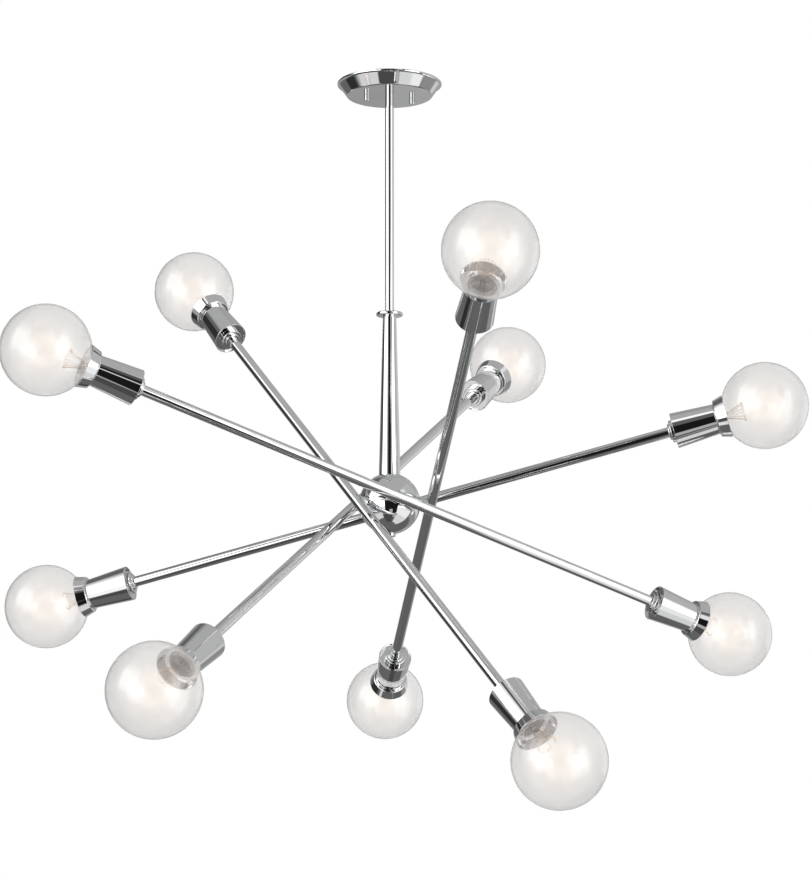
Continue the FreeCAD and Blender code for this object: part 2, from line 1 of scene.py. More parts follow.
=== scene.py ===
# %% [markdown]
# # A ceiling light with five double-ended arms
# This lesson dresses a finished engineering model of a chandelier.  Five chrome tubes pass beside a
# ball under a tapered column, and each tube carries a round clear lamp at both ends.  The model
# gives every place and size.  Here each visible piece is made again as a smooth mesh, with a
# finish of its own, and tied to the body that it swings with.

# %% Load the engineering model
import json
import math

import bpy
from mathutils import Matrix, Vector


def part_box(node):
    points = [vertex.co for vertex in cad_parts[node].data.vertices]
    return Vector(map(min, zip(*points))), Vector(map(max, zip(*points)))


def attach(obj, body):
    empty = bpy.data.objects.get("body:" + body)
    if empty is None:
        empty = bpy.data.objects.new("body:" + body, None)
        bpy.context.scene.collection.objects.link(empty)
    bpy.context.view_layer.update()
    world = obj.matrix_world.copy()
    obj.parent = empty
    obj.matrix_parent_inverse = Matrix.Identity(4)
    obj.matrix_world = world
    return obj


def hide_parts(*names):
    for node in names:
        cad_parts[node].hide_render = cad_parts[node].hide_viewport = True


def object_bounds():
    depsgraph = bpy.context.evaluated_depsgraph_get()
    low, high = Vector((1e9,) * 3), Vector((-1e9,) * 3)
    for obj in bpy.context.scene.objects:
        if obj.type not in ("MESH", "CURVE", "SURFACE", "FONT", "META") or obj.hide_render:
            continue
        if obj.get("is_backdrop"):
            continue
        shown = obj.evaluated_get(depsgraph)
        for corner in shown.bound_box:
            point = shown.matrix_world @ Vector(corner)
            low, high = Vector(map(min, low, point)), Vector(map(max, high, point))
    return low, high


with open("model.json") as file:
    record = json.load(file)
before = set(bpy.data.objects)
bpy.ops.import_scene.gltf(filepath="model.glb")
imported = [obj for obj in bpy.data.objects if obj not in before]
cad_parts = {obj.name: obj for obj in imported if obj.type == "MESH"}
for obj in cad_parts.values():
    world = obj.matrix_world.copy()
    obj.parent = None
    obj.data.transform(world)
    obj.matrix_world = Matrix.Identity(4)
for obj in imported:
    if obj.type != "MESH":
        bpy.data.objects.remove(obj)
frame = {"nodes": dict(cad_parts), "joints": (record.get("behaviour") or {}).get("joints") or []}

CAD_BOX = [list(corner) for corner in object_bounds()]
MM = 0.001
for drawn in list(bpy.data.materials):
    bpy.data.materials.remove(drawn)
scene = bpy.context.scene

# %% [markdown]
# ## Where things are
# A maker measures before cutting.  The ball's box gives the hub.  Each tube gives its own arm: the
# joint's axis points at the hub, so the way outwards is its opposite.  A round bar lying at a tilt
# reaches half its length and a little of its radius both sideways and upwards, so the tilt is found
# by allowing for that little, over and over, until it settles.

# %% Measure the hub and the arms
HUB_BODY = "ceiling_and_hub"
SETTLING_ROUNDS = 20
UP = Vector((0, 0, 1))
ball_low, ball_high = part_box("ball_upper")
BALL_R = (ball_high.x - ball_low.x) / 2
HUB = Vector(((ball_low.x + ball_high.x) / 2, (ball_low.y + ball_high.y) / 2, ball_low.z))


def measure_arm(joint):
    """Middle, direction, way outwards, half length and radius of an arm's tube."""
    tube = frame["nodes"][joint["child"] + "_tube"]
    outward = -Vector(joint["axis"]).normalized()
    side = outward.cross(UP)
    points = [v.co - HUB for v in tube.data.vertices]
    reach = [p.dot(outward) for p in points]
    radius = (max(reach) - min(reach)) / 2
    half_side = max(p.dot(side) for p in points)
    half_up = max(p.z for p in points)
    raised = max(points, key=lambda p: p.length + p.z)
    tilt = 0.0
    for _ in range(SETTLING_ROUNDS):
        tilt = math.atan2(half_up - radius * math.cos(tilt), half_side - radius * math.sin(tilt))
    way = math.copysign(1.0, raised.dot(side))
    return {
        "middle": HUB + outward * (max(reach) + min(reach)) / 2,
        "along": side * way * math.cos(tilt) + UP * math.sin(tilt),
        "outward": outward,
        "half": (half_side - radius * math.sin(tilt)) / math.cos(tilt),
        "radius": radius,
    }


ARMS = {joint["child"]: measure_arm(joint) for joint in frame["joints"]}
PIVOT_R = (ARMS["arm_a"]["middle"] - HUB).length
TUBE_R = ARMS["arm_a"]["radius"]
for name, arm in ARMS.items():
    print(name, "tilt %.2f" % math.degrees(math.asin(arm["along"].z)), "half %.4f" % arm["half"])

# %% [markdown]
# ## The camera
# The light is looked at from below and in front, from about three and a half metres, with a long
# lens.  That keeps the near lamps only a little larger than the far ones.

# %% Set up the camera
CAMERA_BACK = 3405.7 * MM
CAMERA_BELOW_HUB = 382.0 * MM
CAMERA_YAW = math.radians(0.38)
CAMERA_PITCH = math.radians(7.96)
CAMERA_ROLL = math.radians(-0.07)
LENS = 95.83
SENSOR_WIDTH = 36.0
FAR_CLIP = 50.0

camera_data = bpy.data.cameras.new("camera")
camera_data.lens = LENS
camera_data.sensor_width = SENSOR_WIDTH
camera_data.clip_end = FAR_CLIP
camera = bpy.data.objects.new("camera", camera_data)
scene.collection.objects.link(camera)
camera.location = HUB + Vector((0, -CAMERA_BACK, -CAMERA_BELOW_HUB))
forward = Vector((math.sin(CAMERA_YAW) * math.cos(CAMERA_PITCH),
                  math.cos(CAMERA_YAW) * math.cos(CAMERA_PITCH), math.sin(CAMERA_PITCH)))
level = Vector((math.cos(CAMERA_YAW), -math.sin(CAMERA_YAW), 0))
across = level * math.cos(CAMERA_ROLL) + level.cross(forward) * math.sin(CAMERA_ROLL)
upward = across.cross(forward)
turn = Matrix((across, upward, -forward)).transposed()
camera.rotation_euler = turn.to_euler()
scene.camera = camera
print("camera at", [round(v, 3) for v in camera.location], "lens", LENS)

# %% [markdown]
# ## The studio
# Chrome has no colour of its own: it shows the room.  A product studio for chrome is built from
# large white panels with black gaps between them.  Here the room is painted on the world by
# direction, as bands in azimuth and elevation, with soft edges.  What the camera sees directly, and
# what it sees through the clear glass, is plain white, and dull surfaces are lit by plain white too.
# Chrome that is seen through a lamp's glass mirrors a brighter studio, to make up for the glass.

# %% Node helpers
def add(tree, kind, **settings):
    """Add a node, set its properties, and return it."""
    node = tree.nodes.new(kind)
    for key, value in settings.items():
        setattr(node, key, value)
    return node


def put(tree, socket, value):
    """Feed a socket with another socket, or with a plain value."""
    if isinstance(value, bpy.types.NodeSocket):
        tree.links.new(value, socket)
    elif value is not None:
        socket.default_value = value


def math_node(tree, operation, a, b=None, c=None):
    """Output of a math node, fed with sockets or plain values."""
    node = add(tree, "ShaderNodeMath", operation=operation)
    for socket, value in zip(node.inputs, (a, b, c)):
        put(tree, socket, value)
    return node.outputs[0]


def noise(tree, vector, scale, detail=2.0, roughness=0.5):
    """Cloudy value from 0 to 1; scale is in clouds per metre."""
    node = add(tree, "ShaderNodeTexNoise")
    put(tree, node.inputs["Vector"], vector)
    put(tree, node.inputs["Scale"], scale)
    put(tree, node.inputs["Detail"], detail)
    put(tree, node.inputs["Roughness"], roughness)
    return node.outputs["Fac"]


def ramp(tree, value, low, high, out_low, out_high):
    """Value carried smoothly from one span to another, and held beyond its ends."""
    node = add(tree, "ShaderNodeMapRange", interpolation_type="SMOOTHSTEP")
    for label, part in zip(("Value", "From Min", "From Max", "To Min", "To Max"),
                           (value, low, high, out_low, out_high)):
        put(tree, node.inputs[label], part)
    return node.outputs["Result"]


def mix_values(tree, factor, first, second):
    """From the first value to the second; each is a number or a socket."""
    node = add(tree, "ShaderNodeMix", data_type="FLOAT")
    put(tree, node.inputs[0], factor)
    put(tree, node.inputs[2], first)
    put(tree, node.inputs[3], second)
    return node.outputs[0]


def mix_colours(tree, factor, first, second):
    """From the first colour to the second; each is a tuple or a socket."""
    node = add(tree, "ShaderNodeMix", data_type="RGBA")
    put(tree, node.inputs[0], factor)
    put(tree, node.inputs[6], (*first, 1) if isinstance(first, tuple) else first)
    put(tree, node.inputs[7], (*second, 1) if isinstance(second, tuple) else second)
    return node.outputs[2]


def band(tree, value, low, high, soft):
    """1 between low and high, falling to 0 over a soft edge on both sides."""
    rising = ramp(tree, value, low - soft, low, 0.0, 1.0)
    falling = ramp(tree, value, high, high + soft, 1.0, 0.0)
    return math_node(tree, "MULTIPLY", rising, falling)


print("node helpers ready")

# %% Paint the studio on the world
# Each layer: name, brightness, azimuth from, to, elevation from, to, and the soft edge in degrees.
# Azimuth 0 is behind the camera and grows to the camera's right.  A layer covers what is under it.
LAYERS = (
    ("floor shade", 0.13, -400, 400, -200, -57, 5),
    ("far left floor", 0.07, -400, -122, -58, -34, 6),
    ("far left drop", 0.33, -400, -152, -32, 70, 6),
    ("left gap", 0.13, -152, -94, -60, 60, 6),
    ("left gap core", 0.03, -123, -101, -34, 24, 4),
    ("left lower sheet", 0.38, -92, -44, -36, 0, 4),
    ("left floor sheet", 0.72, -92, -37, -55, -38, 3),
    ("left lower gap", 0.08, -47, -37, -36, -17, 3),
    ("left panel head", 0.85, -80, -36, 34, 47, 5),
    ("left panel", 2.2, -83, -35, 2, 37, 4),
    ("left panel foot", 2.2, -61, -20, -17, 1, 3),
    ("left panel tail", 1.05, -36, -20, -38, -14, 3),
    ("ceiling line", 0.12, -56, -31, 51, 58, 3),
    ("ceiling patch", 1.1, -30, -17, 46, 61, 3),
    ("camera header", 0.12, -31, 11, 17, 45, 4),
    ("camera gap", 0.01, -17, 33, -46, 19, 3),
    ("camera glimpse", 0.45, 1, 11, -42, -27, 3),
    ("camera floor", 0.07, -32, 14, -76, -45, 4),
    ("right sliver", 0.85, 19, 30, 9, 46, 3),
    ("right panel head", 0.82, 47, 84, 20, 43, 4),
    ("right panel", 2.2, 46, 65, 10, 28, 4),
    ("right panel foot", 2.2, 35, 68, -20, 11, 3),
    ("right shadow", 0.02, 31, 44, 14, 31, 3),
    ("right shadow head", 0.10, 34, 49, 29, 42, 3),
    ("right lower sheet", 0.94, 33, 92, -48, -17, 4),
    ("right floor sheet", 0.74, 33, 96, -73, -46, 4),
    ("right gap", 0.20, 69, 80, -16, 4, 3),
    ("right drop", 0.50, 76, 122, -17, 48, 5),
    ("right drop glow", 0.66, 119, 148, -14, 14, 6),
    ("far right drop", 0.38, 156, 400, -34, 70, 6),
    ("far right foot", 0.28, 98, 152, -36, -15, 5),
    ("far right floor", 0.12, 100, 400, -58, -36, 5),
)
OPEN_ROOM = 0.43      # brightness where no layer covers the room
GLASS_LIFT = 1.9      # the studio is this much brighter in chrome seen through lamp glass
PLAIN_WHITE = 1.0


def paint_world():
    """World shader: the layers for mirror rays, plain white for what is seen directly."""
    world = bpy.data.worlds.new("studio")
    world.use_nodes = True
    tree = world.node_tree
    tree.nodes.clear()
    place = add(tree, "ShaderNodeTexCoord")
    axes = add(tree, "ShaderNodeSeparateXYZ")
    put(tree, axes.inputs[0], place.outputs["Generated"])
    forwards = math_node(tree, "MULTIPLY", axes.outputs["Y"], -1.0)
    azimuth = math_node(tree, "ARCTAN2", axes.outputs["X"], forwards)
    azimuth = math_node(tree, "MULTIPLY", azimuth, math.degrees(1))
    elevation = math_node(tree, "ARCSINE", axes.outputs["Z"])
    elevation = math_node(tree, "MULTIPLY", elevation, math.degrees(1))
    shown = OPEN_ROOM
    for label, bright, left, right, low, high, soft in LAYERS:
        wide = band(tree, azimuth, left, right, soft)
        tall = band(tree, elevation, low, high, soft)
        shown = mix_values(tree, math_node(tree, "MULTIPLY", wide, tall), shown, bright)
        shown.node.label = label
    rays = add(tree, "ShaderNodeLightPath")
    through_glass = rays.outputs["Is Transmission Ray"]
    unmirrored = math_node(tree, "LESS_THAN", rays.outputs["Glossy Depth"], 0.5)
    plain_glass = math_node(tree, "MULTIPLY", through_glass, unmirrored)
    direct = math_node(tree, "MAXIMUM", rays.outputs["Is Camera Ray"], plain_glass)
    direct = math_node(tree, "MAXIMUM", direct, rays.outputs["Is Diffuse Ray"])
    lift = math_node(tree, "MULTIPLY_ADD", through_glass, GLASS_LIFT - 1, 1.0)
    shown = math_node(tree, "MULTIPLY", shown, lift)
    light = add(tree, "ShaderNodeBackground")
    put(tree, light.inputs["Color"], mix_values(tree, direct, shown, PLAIN_WHITE))
    result = add(tree, "ShaderNodeOutputWorld")
    put(tree, result.inputs["Surface"], light.outputs[0])
    return world


scene.world = paint_world()
scene.view_settings.view_transform = "Standard"
print("studio layers", len(LAYERS))

# %% [markdown]
# ## The floor
# A plain pale floor lies well under the lamps, where a room's floor would be.  It is kept out of the
# mirror reflections, because the studio bands already say what the chrome sees below it.  Its
# underside is open, so the lamps can also be looked at from under it.

# %% Lay the floor
FLOOR_HEIGHT = -2.4
FLOOR_HALF = 6.0
FLOOR_ROUGHNESS = 0.6
FLOOR_CLOUDS = 3.0            # clouds per metre
FLOOR_TONE = 0.86
FLOOR_CLOUDING = 0.04


def floor_material():
    """Pale, faintly clouded floor that shows from above and is open from below."""
    material = bpy.data.materials.new("pale_floor")
    material.use_nodes = True
    tree = material.node_tree
    shader = tree.nodes["Principled BSDF"]
    shader.inputs["Roughness"].default_value = FLOOR_ROUGHNESS
    place = add(tree, "ShaderNodeTexCoord")
    clouds = noise(tree, place.outputs["Object"], FLOOR_CLOUDS)
    tone = math_node(tree, "MULTIPLY_ADD", clouds, FLOOR_CLOUDING, FLOOR_TONE)
    put(tree, shader.inputs["Base Color"], tone)
    side = add(tree, "ShaderNodeNewGeometry")
    open_side = add(tree, "ShaderNodeBsdfTransparent")
    mix = add(tree, "ShaderNodeMixShader")
    put(tree, mix.inputs[0], side.outputs["Backfacing"])
    put(tree, mix.inputs[1], shader.outputs[0])
    put(tree, mix.inputs[2], open_side.outputs[0])
    put(tree, tree.nodes["Material Output"].inputs["Surface"], mix.outputs[0])
    return material


floor_mesh = bpy.data.meshes.new("floor")
corners = [(x * FLOOR_HALF, y * FLOOR_HALF, FLOOR_HEIGHT)
           for x, y in ((-1, -1), (1, -1), (1, 1), (-1, 1))]
floor_mesh.from_pydata(corners, [], [(0, 1, 2, 3)])
floor_mesh.materials.append(floor_material())
floor = bpy.data.objects.new("floor", floor_mesh)
scene.collection.objects.link(floor)
floor.visible_glossy = False
floor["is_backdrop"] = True
print("floor at", FLOOR_HEIGHT, "m")

# %% [markdown]
# ## Effects that the finishes share
# Two effects turn up on more than one finish, so each is a shader node group with named inputs.
# Buffing marks are the faint lines, soft clouds and slow ripple that a polishing wheel and a cloth
# leave on metal.  Specks are the grain of a casting, a fired glaze or a woven sleeve.  Each group
# only puts out values, and each material feeds them to a shader of its own.

# %% Start a shader group
def shader_group(name, inputs, outputs):
    """An empty node group with float or vector sockets, and its two end nodes."""
    group = bpy.data.node_groups.new(name, "ShaderNodeTree")
    for label, value in inputs.items():
        kind = "NodeSocketVector" if value is None else "NodeSocketFloat"
        socket = group.interface.new_socket(name=label, in_out="INPUT", socket_type=kind)
        if value is not None:
            socket.default_value = value
    for label, kind in outputs.items():
        group.interface.new_socket(name=label, in_out="OUTPUT", socket_type=kind)
    return group, add(group, "NodeGroupInput").outputs, add(group, "NodeGroupOutput").inputs


# %% Buffing marks
def buffing_group():
    """Roughness, relief and haze of a polished surface, from object and surface coordinates."""
    group, given, result = shader_group(
        "buffing marks",
        {"Place": None, "Surface": None, "Clouds per metre": 18.0, "Lines per metre": 900.0,
         "Ripples per metre": 40.0, "Smooth": 0.03, "Hazy": 0.12},
        {"Roughness": "NodeSocketFloat", "Height": "NodeSocketFloat", "Haze": "NodeSocketFloat"},
    )
    clouds = noise(group, given["Place"], given["Clouds per metre"], 3.0, 0.55)
    haze = ramp(group, clouds, 0.48, 0.72, 0.0, 1.0)
    axes = add(group, "ShaderNodeSeparateXYZ")
    put(group, axes.inputs[0], given["Surface"])
    along = math_node(group, "MULTIPLY", axes.outputs["Y"], given["Lines per metre"])
    lines = add(group, "ShaderNodeTexNoise", noise_dimensions="1D")
    put(group, lines.inputs["W"], along)
    put(group, lines.inputs["Detail"], 3.0)
    fine = lines.outputs["Fac"]
    share = math_node(group, "MULTIPLY_ADD", fine, 0.35, haze)
    share = math_node(group, "MINIMUM", share, 1.0)
    rough = mix_values(group, share, given["Smooth"], given["Hazy"])
    put(group, result["Roughness"], rough)
    ripple = noise(group, given["Place"], given["Ripples per metre"], 1.0, 0.4)
    put(group, result["Height"], ripple)
    put(group, result["Haze"], haze)
    return group


# %% Specks
def specks_group():
    """Scattered grains: a mask of dark specks and the relief under them."""
    group, given, result = shader_group(
        "specks",
        {"Place": None, "Specks per metre": 900.0, "Share": 0.3, "Clouds per metre": 60.0},
        {"Mask": "NodeSocketFloat", "Height": "NodeSocketFloat", "Cloud": "NodeSocketFloat"},
    )
    cells = add(group, "ShaderNodeTexVoronoi")
    put(group, cells.inputs["Vector"], given["Place"])
    put(group, cells.inputs["Scale"], given["Specks per metre"])
    mask = ramp(group, cells.outputs["Distance"], 0.0, given["Share"], 1.0, 0.0)
    put(group, result["Mask"], mask)
    grain = noise(group, given["Place"], given["Specks per metre"], 4.0, 0.6)
    put(group, result["Height"], grain)
    put(group, result["Cloud"], noise(group, given["Place"], given["Clouds per metre"], 3.0, 0.5))
    return group


BUFFING = buffing_group()
SPECKS = specks_group()
print("shader groups", [g.name for g in bpy.data.node_groups])


# %% Start a material
def start_material(name, **values):
    """A material with its Principled shader's plain values set, and its place coordinates."""
    material = bpy.data.materials.new(name)
    material.use_nodes = True
    tree = material.node_tree
    shader = tree.nodes["Principled BSDF"]
    for label, value in values.items():
        socket = shader.inputs[label.replace("_", " ")]
        socket.default_value = (*value, 1) if isinstance(value, tuple) else value
    place = add(tree, "ShaderNodeTexCoord")
    return material, tree, shader, place


def place_group(tree, group, place, **values):
    """Put a shared group in a material, fed by object and surface coordinates."""
    node = add(tree, "ShaderNodeGroup", node_tree=group)
    put(tree, node.inputs["Place"], place.outputs["Object"])
    if "Surface" in node.inputs:
        put(tree, node.inputs["Surface"], place.outputs["UV"])
    for label, value in values.items():
        node.inputs[label.replace("_", " ")].default_value = value
    return node.outputs


def relief(tree, shader, height, depth, strength=1.0):
    """Bump the shader's normal; depth in metres."""
    bump = add(tree, "ShaderNodeBump")
    put(tree, bump.inputs["Height"], height)
    put(tree, bump.inputs["Distance"], depth)
    put(tree, bump.inputs["Strength"], strength)
    put(tree, shader.inputs["Normal"], bump.outputs["Normal"])


# %% Two families of finish
def buffed_metal(name, clean, hazed, depth, **marks):
    """Metal with buffing marks: its clean and its hazed colour, and how deep the ripple is."""
    material, tree, shader, place = start_material(name, Metallic=1.0)
    given = place_group(tree, BUFFING, place, **marks)
    put(tree, shader.inputs["Base Color"], mix_colours(tree, given["Haze"], clean, hazed))
    put(tree, shader.inputs["Roughness"], given["Roughness"])
    relief(tree, shader, given["Height"], depth)
    return material


def grained(name, first, second, speck, roughness, depth, marks, **values):
    """Clouded surface between two colours, with grain, and specks of a third colour if given."""
    material, tree, shader, place = start_material(name, **values)
    given = place_group(tree, SPECKS, place, **marks)
    tint = mix_colours(tree, given["Cloud"], first, second)
    if speck:
        tint = mix_colours(tree, given["Mask"], tint, speck)
    put(tree, shader.inputs["Base Color"], tint)
    put(tree, shader.inputs["Roughness"], ramp(tree, given["Cloud"], 0.3, 0.7, *roughness))
    relief(tree, shader, given["Height"], depth)
    return material


# %% [markdown]
# ## Polished chrome
# Nearly everything in sight is bright chrome plate over turned or drawn metal.  Bright plate
# mirrors most of the light, a little more in the blue.  It is almost perfectly smooth, with
# a cloth's faint haze in places, turning lines from the lathe, and a ripple far too shallow to see
# except where it bends a reflection.

# %% Polished chrome
CHROME = buffed_metal(
    "polished_chrome", (0.88, 0.885, 0.895), (0.83, 0.835, 0.84), 0.02 * MM,
    Clouds_per_metre=16.0, Lines_per_metre=700.0, Ripples_per_metre=24.0, Smooth=0.02, Hazy=0.06)
print("made", CHROME.name)

# %% [markdown]
# ## Plated steel and cast metal
# The mounting plate, studs, nuts and screws are zinc-plated steel: bluish grey and satin, with
# cloudy spangle.  The hub core is a zinc casting, darker, grained by the die.

# %% Plated steel and cast metal
STEEL = buffed_metal(
    "plated_steel", (0.62, 0.64, 0.67), (0.48, 0.49, 0.50), 0.03 * MM,
    Clouds_per_metre=70.0, Lines_per_metre=600.0, Smooth=0.24, Hazy=0.42)
CASTING = grained(
    "cast_metal", (0.40, 0.40, 0.41), (0.54, 0.54, 0.55), (0.30, 0.30, 0.31), (0.42, 0.6),
    0.08 * MM, {"Specks_per_metre": 1400.0, "Share": 0.35, "Clouds_per_metre": 90.0}, Metallic=1.0)
print("made", STEEL.name, CASTING.name)

# %% [markdown]
# ## Lamp glass
# The globes are blown clear glass with a faint warm glow of their own, and a warm glow is also
# painted into the tint where the globe faces the camera.  Real glass is a thin wall, so the mesh is a
# thin wall too, and the shader bends light a little less than window glass does.  A soft coat spreads
# the bright panels into broad patches.  Painted shade turns the tint greyer towards the edge, and a
# painted highlight turns it white again at the outermost rim.
# The blowing leaves slow waves, which make the reflections wander a little.

# %% Lamp glass
# Tints by viewing angle, all painted light: a warm glow where the globe faces the camera, shade at the
# turn and the edge, and a highlight at the outermost rim.
GLASS_MIDDLE_PAINTED_GLOW = (0.94, 0.913, 0.885)
GLASS_TURN_PAINTED_SHADE = (0.835, 0.825, 0.814)
GLASS_EDGE_PAINTED_SHADE = (0.828, 0.825, 0.822)
GLASS_RIM_PAINTED_HIGHLIGHT = (1.0, 1.0, 1.0)


def lamp_glass():
    """Clear glass with a painted warm glow in its middle, painted shade towards the edge and a painted
    highlight at the rim.
    """
    material, tree, shader, place = start_material(
        "lamp_glass", Transmission_Weight=1.0, IOR=1.25, Coat_Weight=1.0, Coat_IOR=1.55,
        Coat_Roughness=0.30, Emission_Color=(1.0, 0.93, 0.88), Emission_Strength=0.05)
    clouds = place_group(tree, SPECKS, place, Specks_per_metre=500.0, Share=0.1,
                         Clouds_per_metre=26.0)["Cloud"]
    edge_on = add(tree, "ShaderNodeLayerWeight")
    facing = edge_on.outputs["Facing"]
    # The tint paints light: a warm glow in the middle, greyer shade towards the edge, white at the
    # rim.
    tint = mix_colours(tree, ramp(tree, facing, 0.01, 0.12, 0.0, 1.0), GLASS_MIDDLE_PAINTED_GLOW, GLASS_TURN_PAINTED_SHADE)
    tint = mix_colours(tree, ramp(tree, facing, 0.09, 0.32, 0.0, 1.0), tint, GLASS_EDGE_PAINTED_SHADE)
    tint = mix_colours(tree, ramp(tree, facing, 0.42, 0.80, 0.0, 1.0), tint, GLASS_RIM_PAINTED_HIGHLIGHT)
    put(tree, shader.inputs["Base Color"], tint)
    put(tree, shader.inputs["Roughness"], ramp(tree, clouds, 0.35, 0.75, 0.0, 0.03))
    relief(tree, shader, clouds, 0.12 * MM, 0.5)
    return material


def stem_glass():
    """The lamp's inner glass is thick and worked in a flame, so it is wavy and bright at its edges."""
    material, tree, shader, place = start_material(
        "stem_glass", Transmission_Weight=1.0, IOR=1.5)
    clouds = noise(tree, place.outputs["Object"], 160.0, 2.0)
    tint = mix_colours(tree, clouds, (0.97, 0.96, 0.95), (0.92, 0.90, 0.88))
    put(tree, shader.inputs["Base Color"], tint)
    put(tree, shader.inputs["Roughness"], ramp(tree, clouds, 0.35, 0.75, 0.0, 0.05))
    relief(tree, shader, clouds, 0.4 * MM)
    return material


GLASS = lamp_glass()
STEM_GLASS = stem_glass()
print("made", GLASS.name, STEM_GLASS.name)

# %% [markdown]
# ## Ceramic, lamp caps, filament parts and leads
# The lampholder is glazed white porcelain with a few iron specks.  The lamp's cap is bright
# aluminium.  The wires inside the lamp are nickel with a coppery bloom, and the coil is warm
# tungsten.  The leads have a soft sleeve.

# %% Ceramic and lead sleeve
CERAMIC = grained(
    "socket_ceramic", (0.80, 0.79, 0.76), (0.86, 0.855, 0.83), (0.45, 0.40, 0.34), (0.22, 0.36),
    0.04 * MM, {"Specks_per_metre": 420.0, "Share": 0.12, "Clouds_per_metre": 50.0},
    Coat_Weight=0.6)
SLEEVE = grained(
    "lead_insulation", (0.70, 0.69, 0.66), (0.80, 0.79, 0.77), None, (0.45, 0.6),
    0.05 * MM, {"Specks_per_metre": 2500.0, "Share": 0.3, "Clouds_per_metre": 120.0})
print("made", CERAMIC.name, SLEEVE.name)


# %% Lamp cap, wires and coil
def wire_metal(name, first, second, **values):
    """Plain metal clouded between two colours, for pieces too thin to show more."""
    material, tree, shader, place = start_material(name, Metallic=1.0, **values)
    clouds = noise(tree, place.outputs["Object"], 400.0, 3.0)
    put(tree, shader.inputs["Base Color"], mix_colours(tree, clouds, first, second))
    put(tree, shader.inputs["Roughness"], ramp(tree, clouds, 0.3, 0.7, 0.2, 0.4))
    return material


CAP = buffed_metal(
    "lamp_cap", (0.80, 0.79, 0.77), (0.68, 0.66, 0.62), 0.03 * MM,
    Clouds_per_metre=90.0, Lines_per_metre=2500.0, Smooth=0.16, Hazy=0.32)
NICKEL = wire_metal("filament_mount", (0.80, 0.66, 0.52), (0.56, 0.43, 0.32))
TUNGSTEN = wire_metal("filament_coil", (0.60, 0.46, 0.34), (0.42, 0.32, 0.25),
                      Emission_Color=(1.0, 0.70, 0.45), Emission_Strength=0.35)
print("made", CAP.name, NICKEL.name, TUNGSTEN.name)

# %% [markdown]
# ## Turning a piece
# A lathe is the right tool for this light: nearly every piece is round.  The outline of a piece is
# a closed loop of (along, radius) corners, each with its own rounding.  The loop is spun round X.
# Mirror-bright metal shows any fault in the shading, so no corner off the axis is left sharp: each
# is an arc, and each straight run gets an extra ring close to each end, to keep the flats flat.

# %% Round the corners of an outline
EASED = 0.15 * MM             # the rounding of a corner that isn't given one
SUPPORT = 0.3 * MM            # from an arc to the ring that holds the flat beside it
ARC_STEP = math.radians(15)
ARC_SHARE = 0.48              # the most that an arc may take of the shorter side beside it
STRAIGHT = math.radians(89)   # half the angle from which a corner counts as a straight line
TINY = 1e-7                   # closer to the axis than this, a point lies on it
SHORTEST_RUN = 1e-6           # a shorter run between two arcs gets no rings


def cross2(a, b):
    return a.x * b.y - a.y * b.x


def corner_arc(before, corner, after, radius):
    """Points of the arc that rounds a corner."""
    back = before - corner
    ahead = after - corner
    room = ARC_SHARE * min(back.length, ahead.length)
    back.normalize()
    ahead.normalize()
    half = back.angle(ahead) / 2
    if half > STRAIGHT or radius <= 0:
        return [corner]
    reach = min(radius / math.tan(half), room)
    radius = reach * math.tan(half)
    centre = corner + (back + ahead).normalized() * (radius / math.sin(half))
    first = corner + back * reach - centre
    last = corner + ahead * reach - centre
    sweep = math.atan2(cross2(first, last), first.dot(last))
    steps = max(2, math.ceil(abs(sweep) / ARC_STEP))
    points = []
    for step in range(steps + 1):
        angle = sweep * step / steps
        spun = Vector((first.x * math.cos(angle) - first.y * math.sin(angle),
                       first.x * math.sin(angle) + first.y * math.cos(angle)))
        points.append(centre + spun)
    return points


def rounded(corners):
    """Closed outline as points, from (along, radius) or (along, radius, rounding) corners."""
    places = [Vector(c[:2]) for c in corners]
    count = len(places)
    arcs = []
    for i, place in enumerate(places):
        easing = corners[i][2] if len(corners[i]) > 2 else EASED
        if place.y < TINY:
            easing = 0
        arcs.append(corner_arc(places[i - 1], place, places[(i + 1) % count], easing))
    outline = []
    for i, arc in enumerate(arcs):
        outline += arc
        start = arc[-1]
        run = arcs[(i + 1) % count][0] - start
        step = min(SUPPORT, run.length / 4)
        if run.length > SHORTEST_RUN:
            unit = run.normalized()
            outline += [start + unit * step, start + run - unit * step]
    return outline


# %% Spin an outline into a mesh
SEGMENTS = 96
TINY_SEGMENTS = 48            # nuts and drills
SMALL_SEGMENTS = 64           # tubes and other slim pieces
LARGE_SEGMENTS = 128          # cups, collars, globes and the column
WIDE_SEGMENTS = 160           # canopy and ball


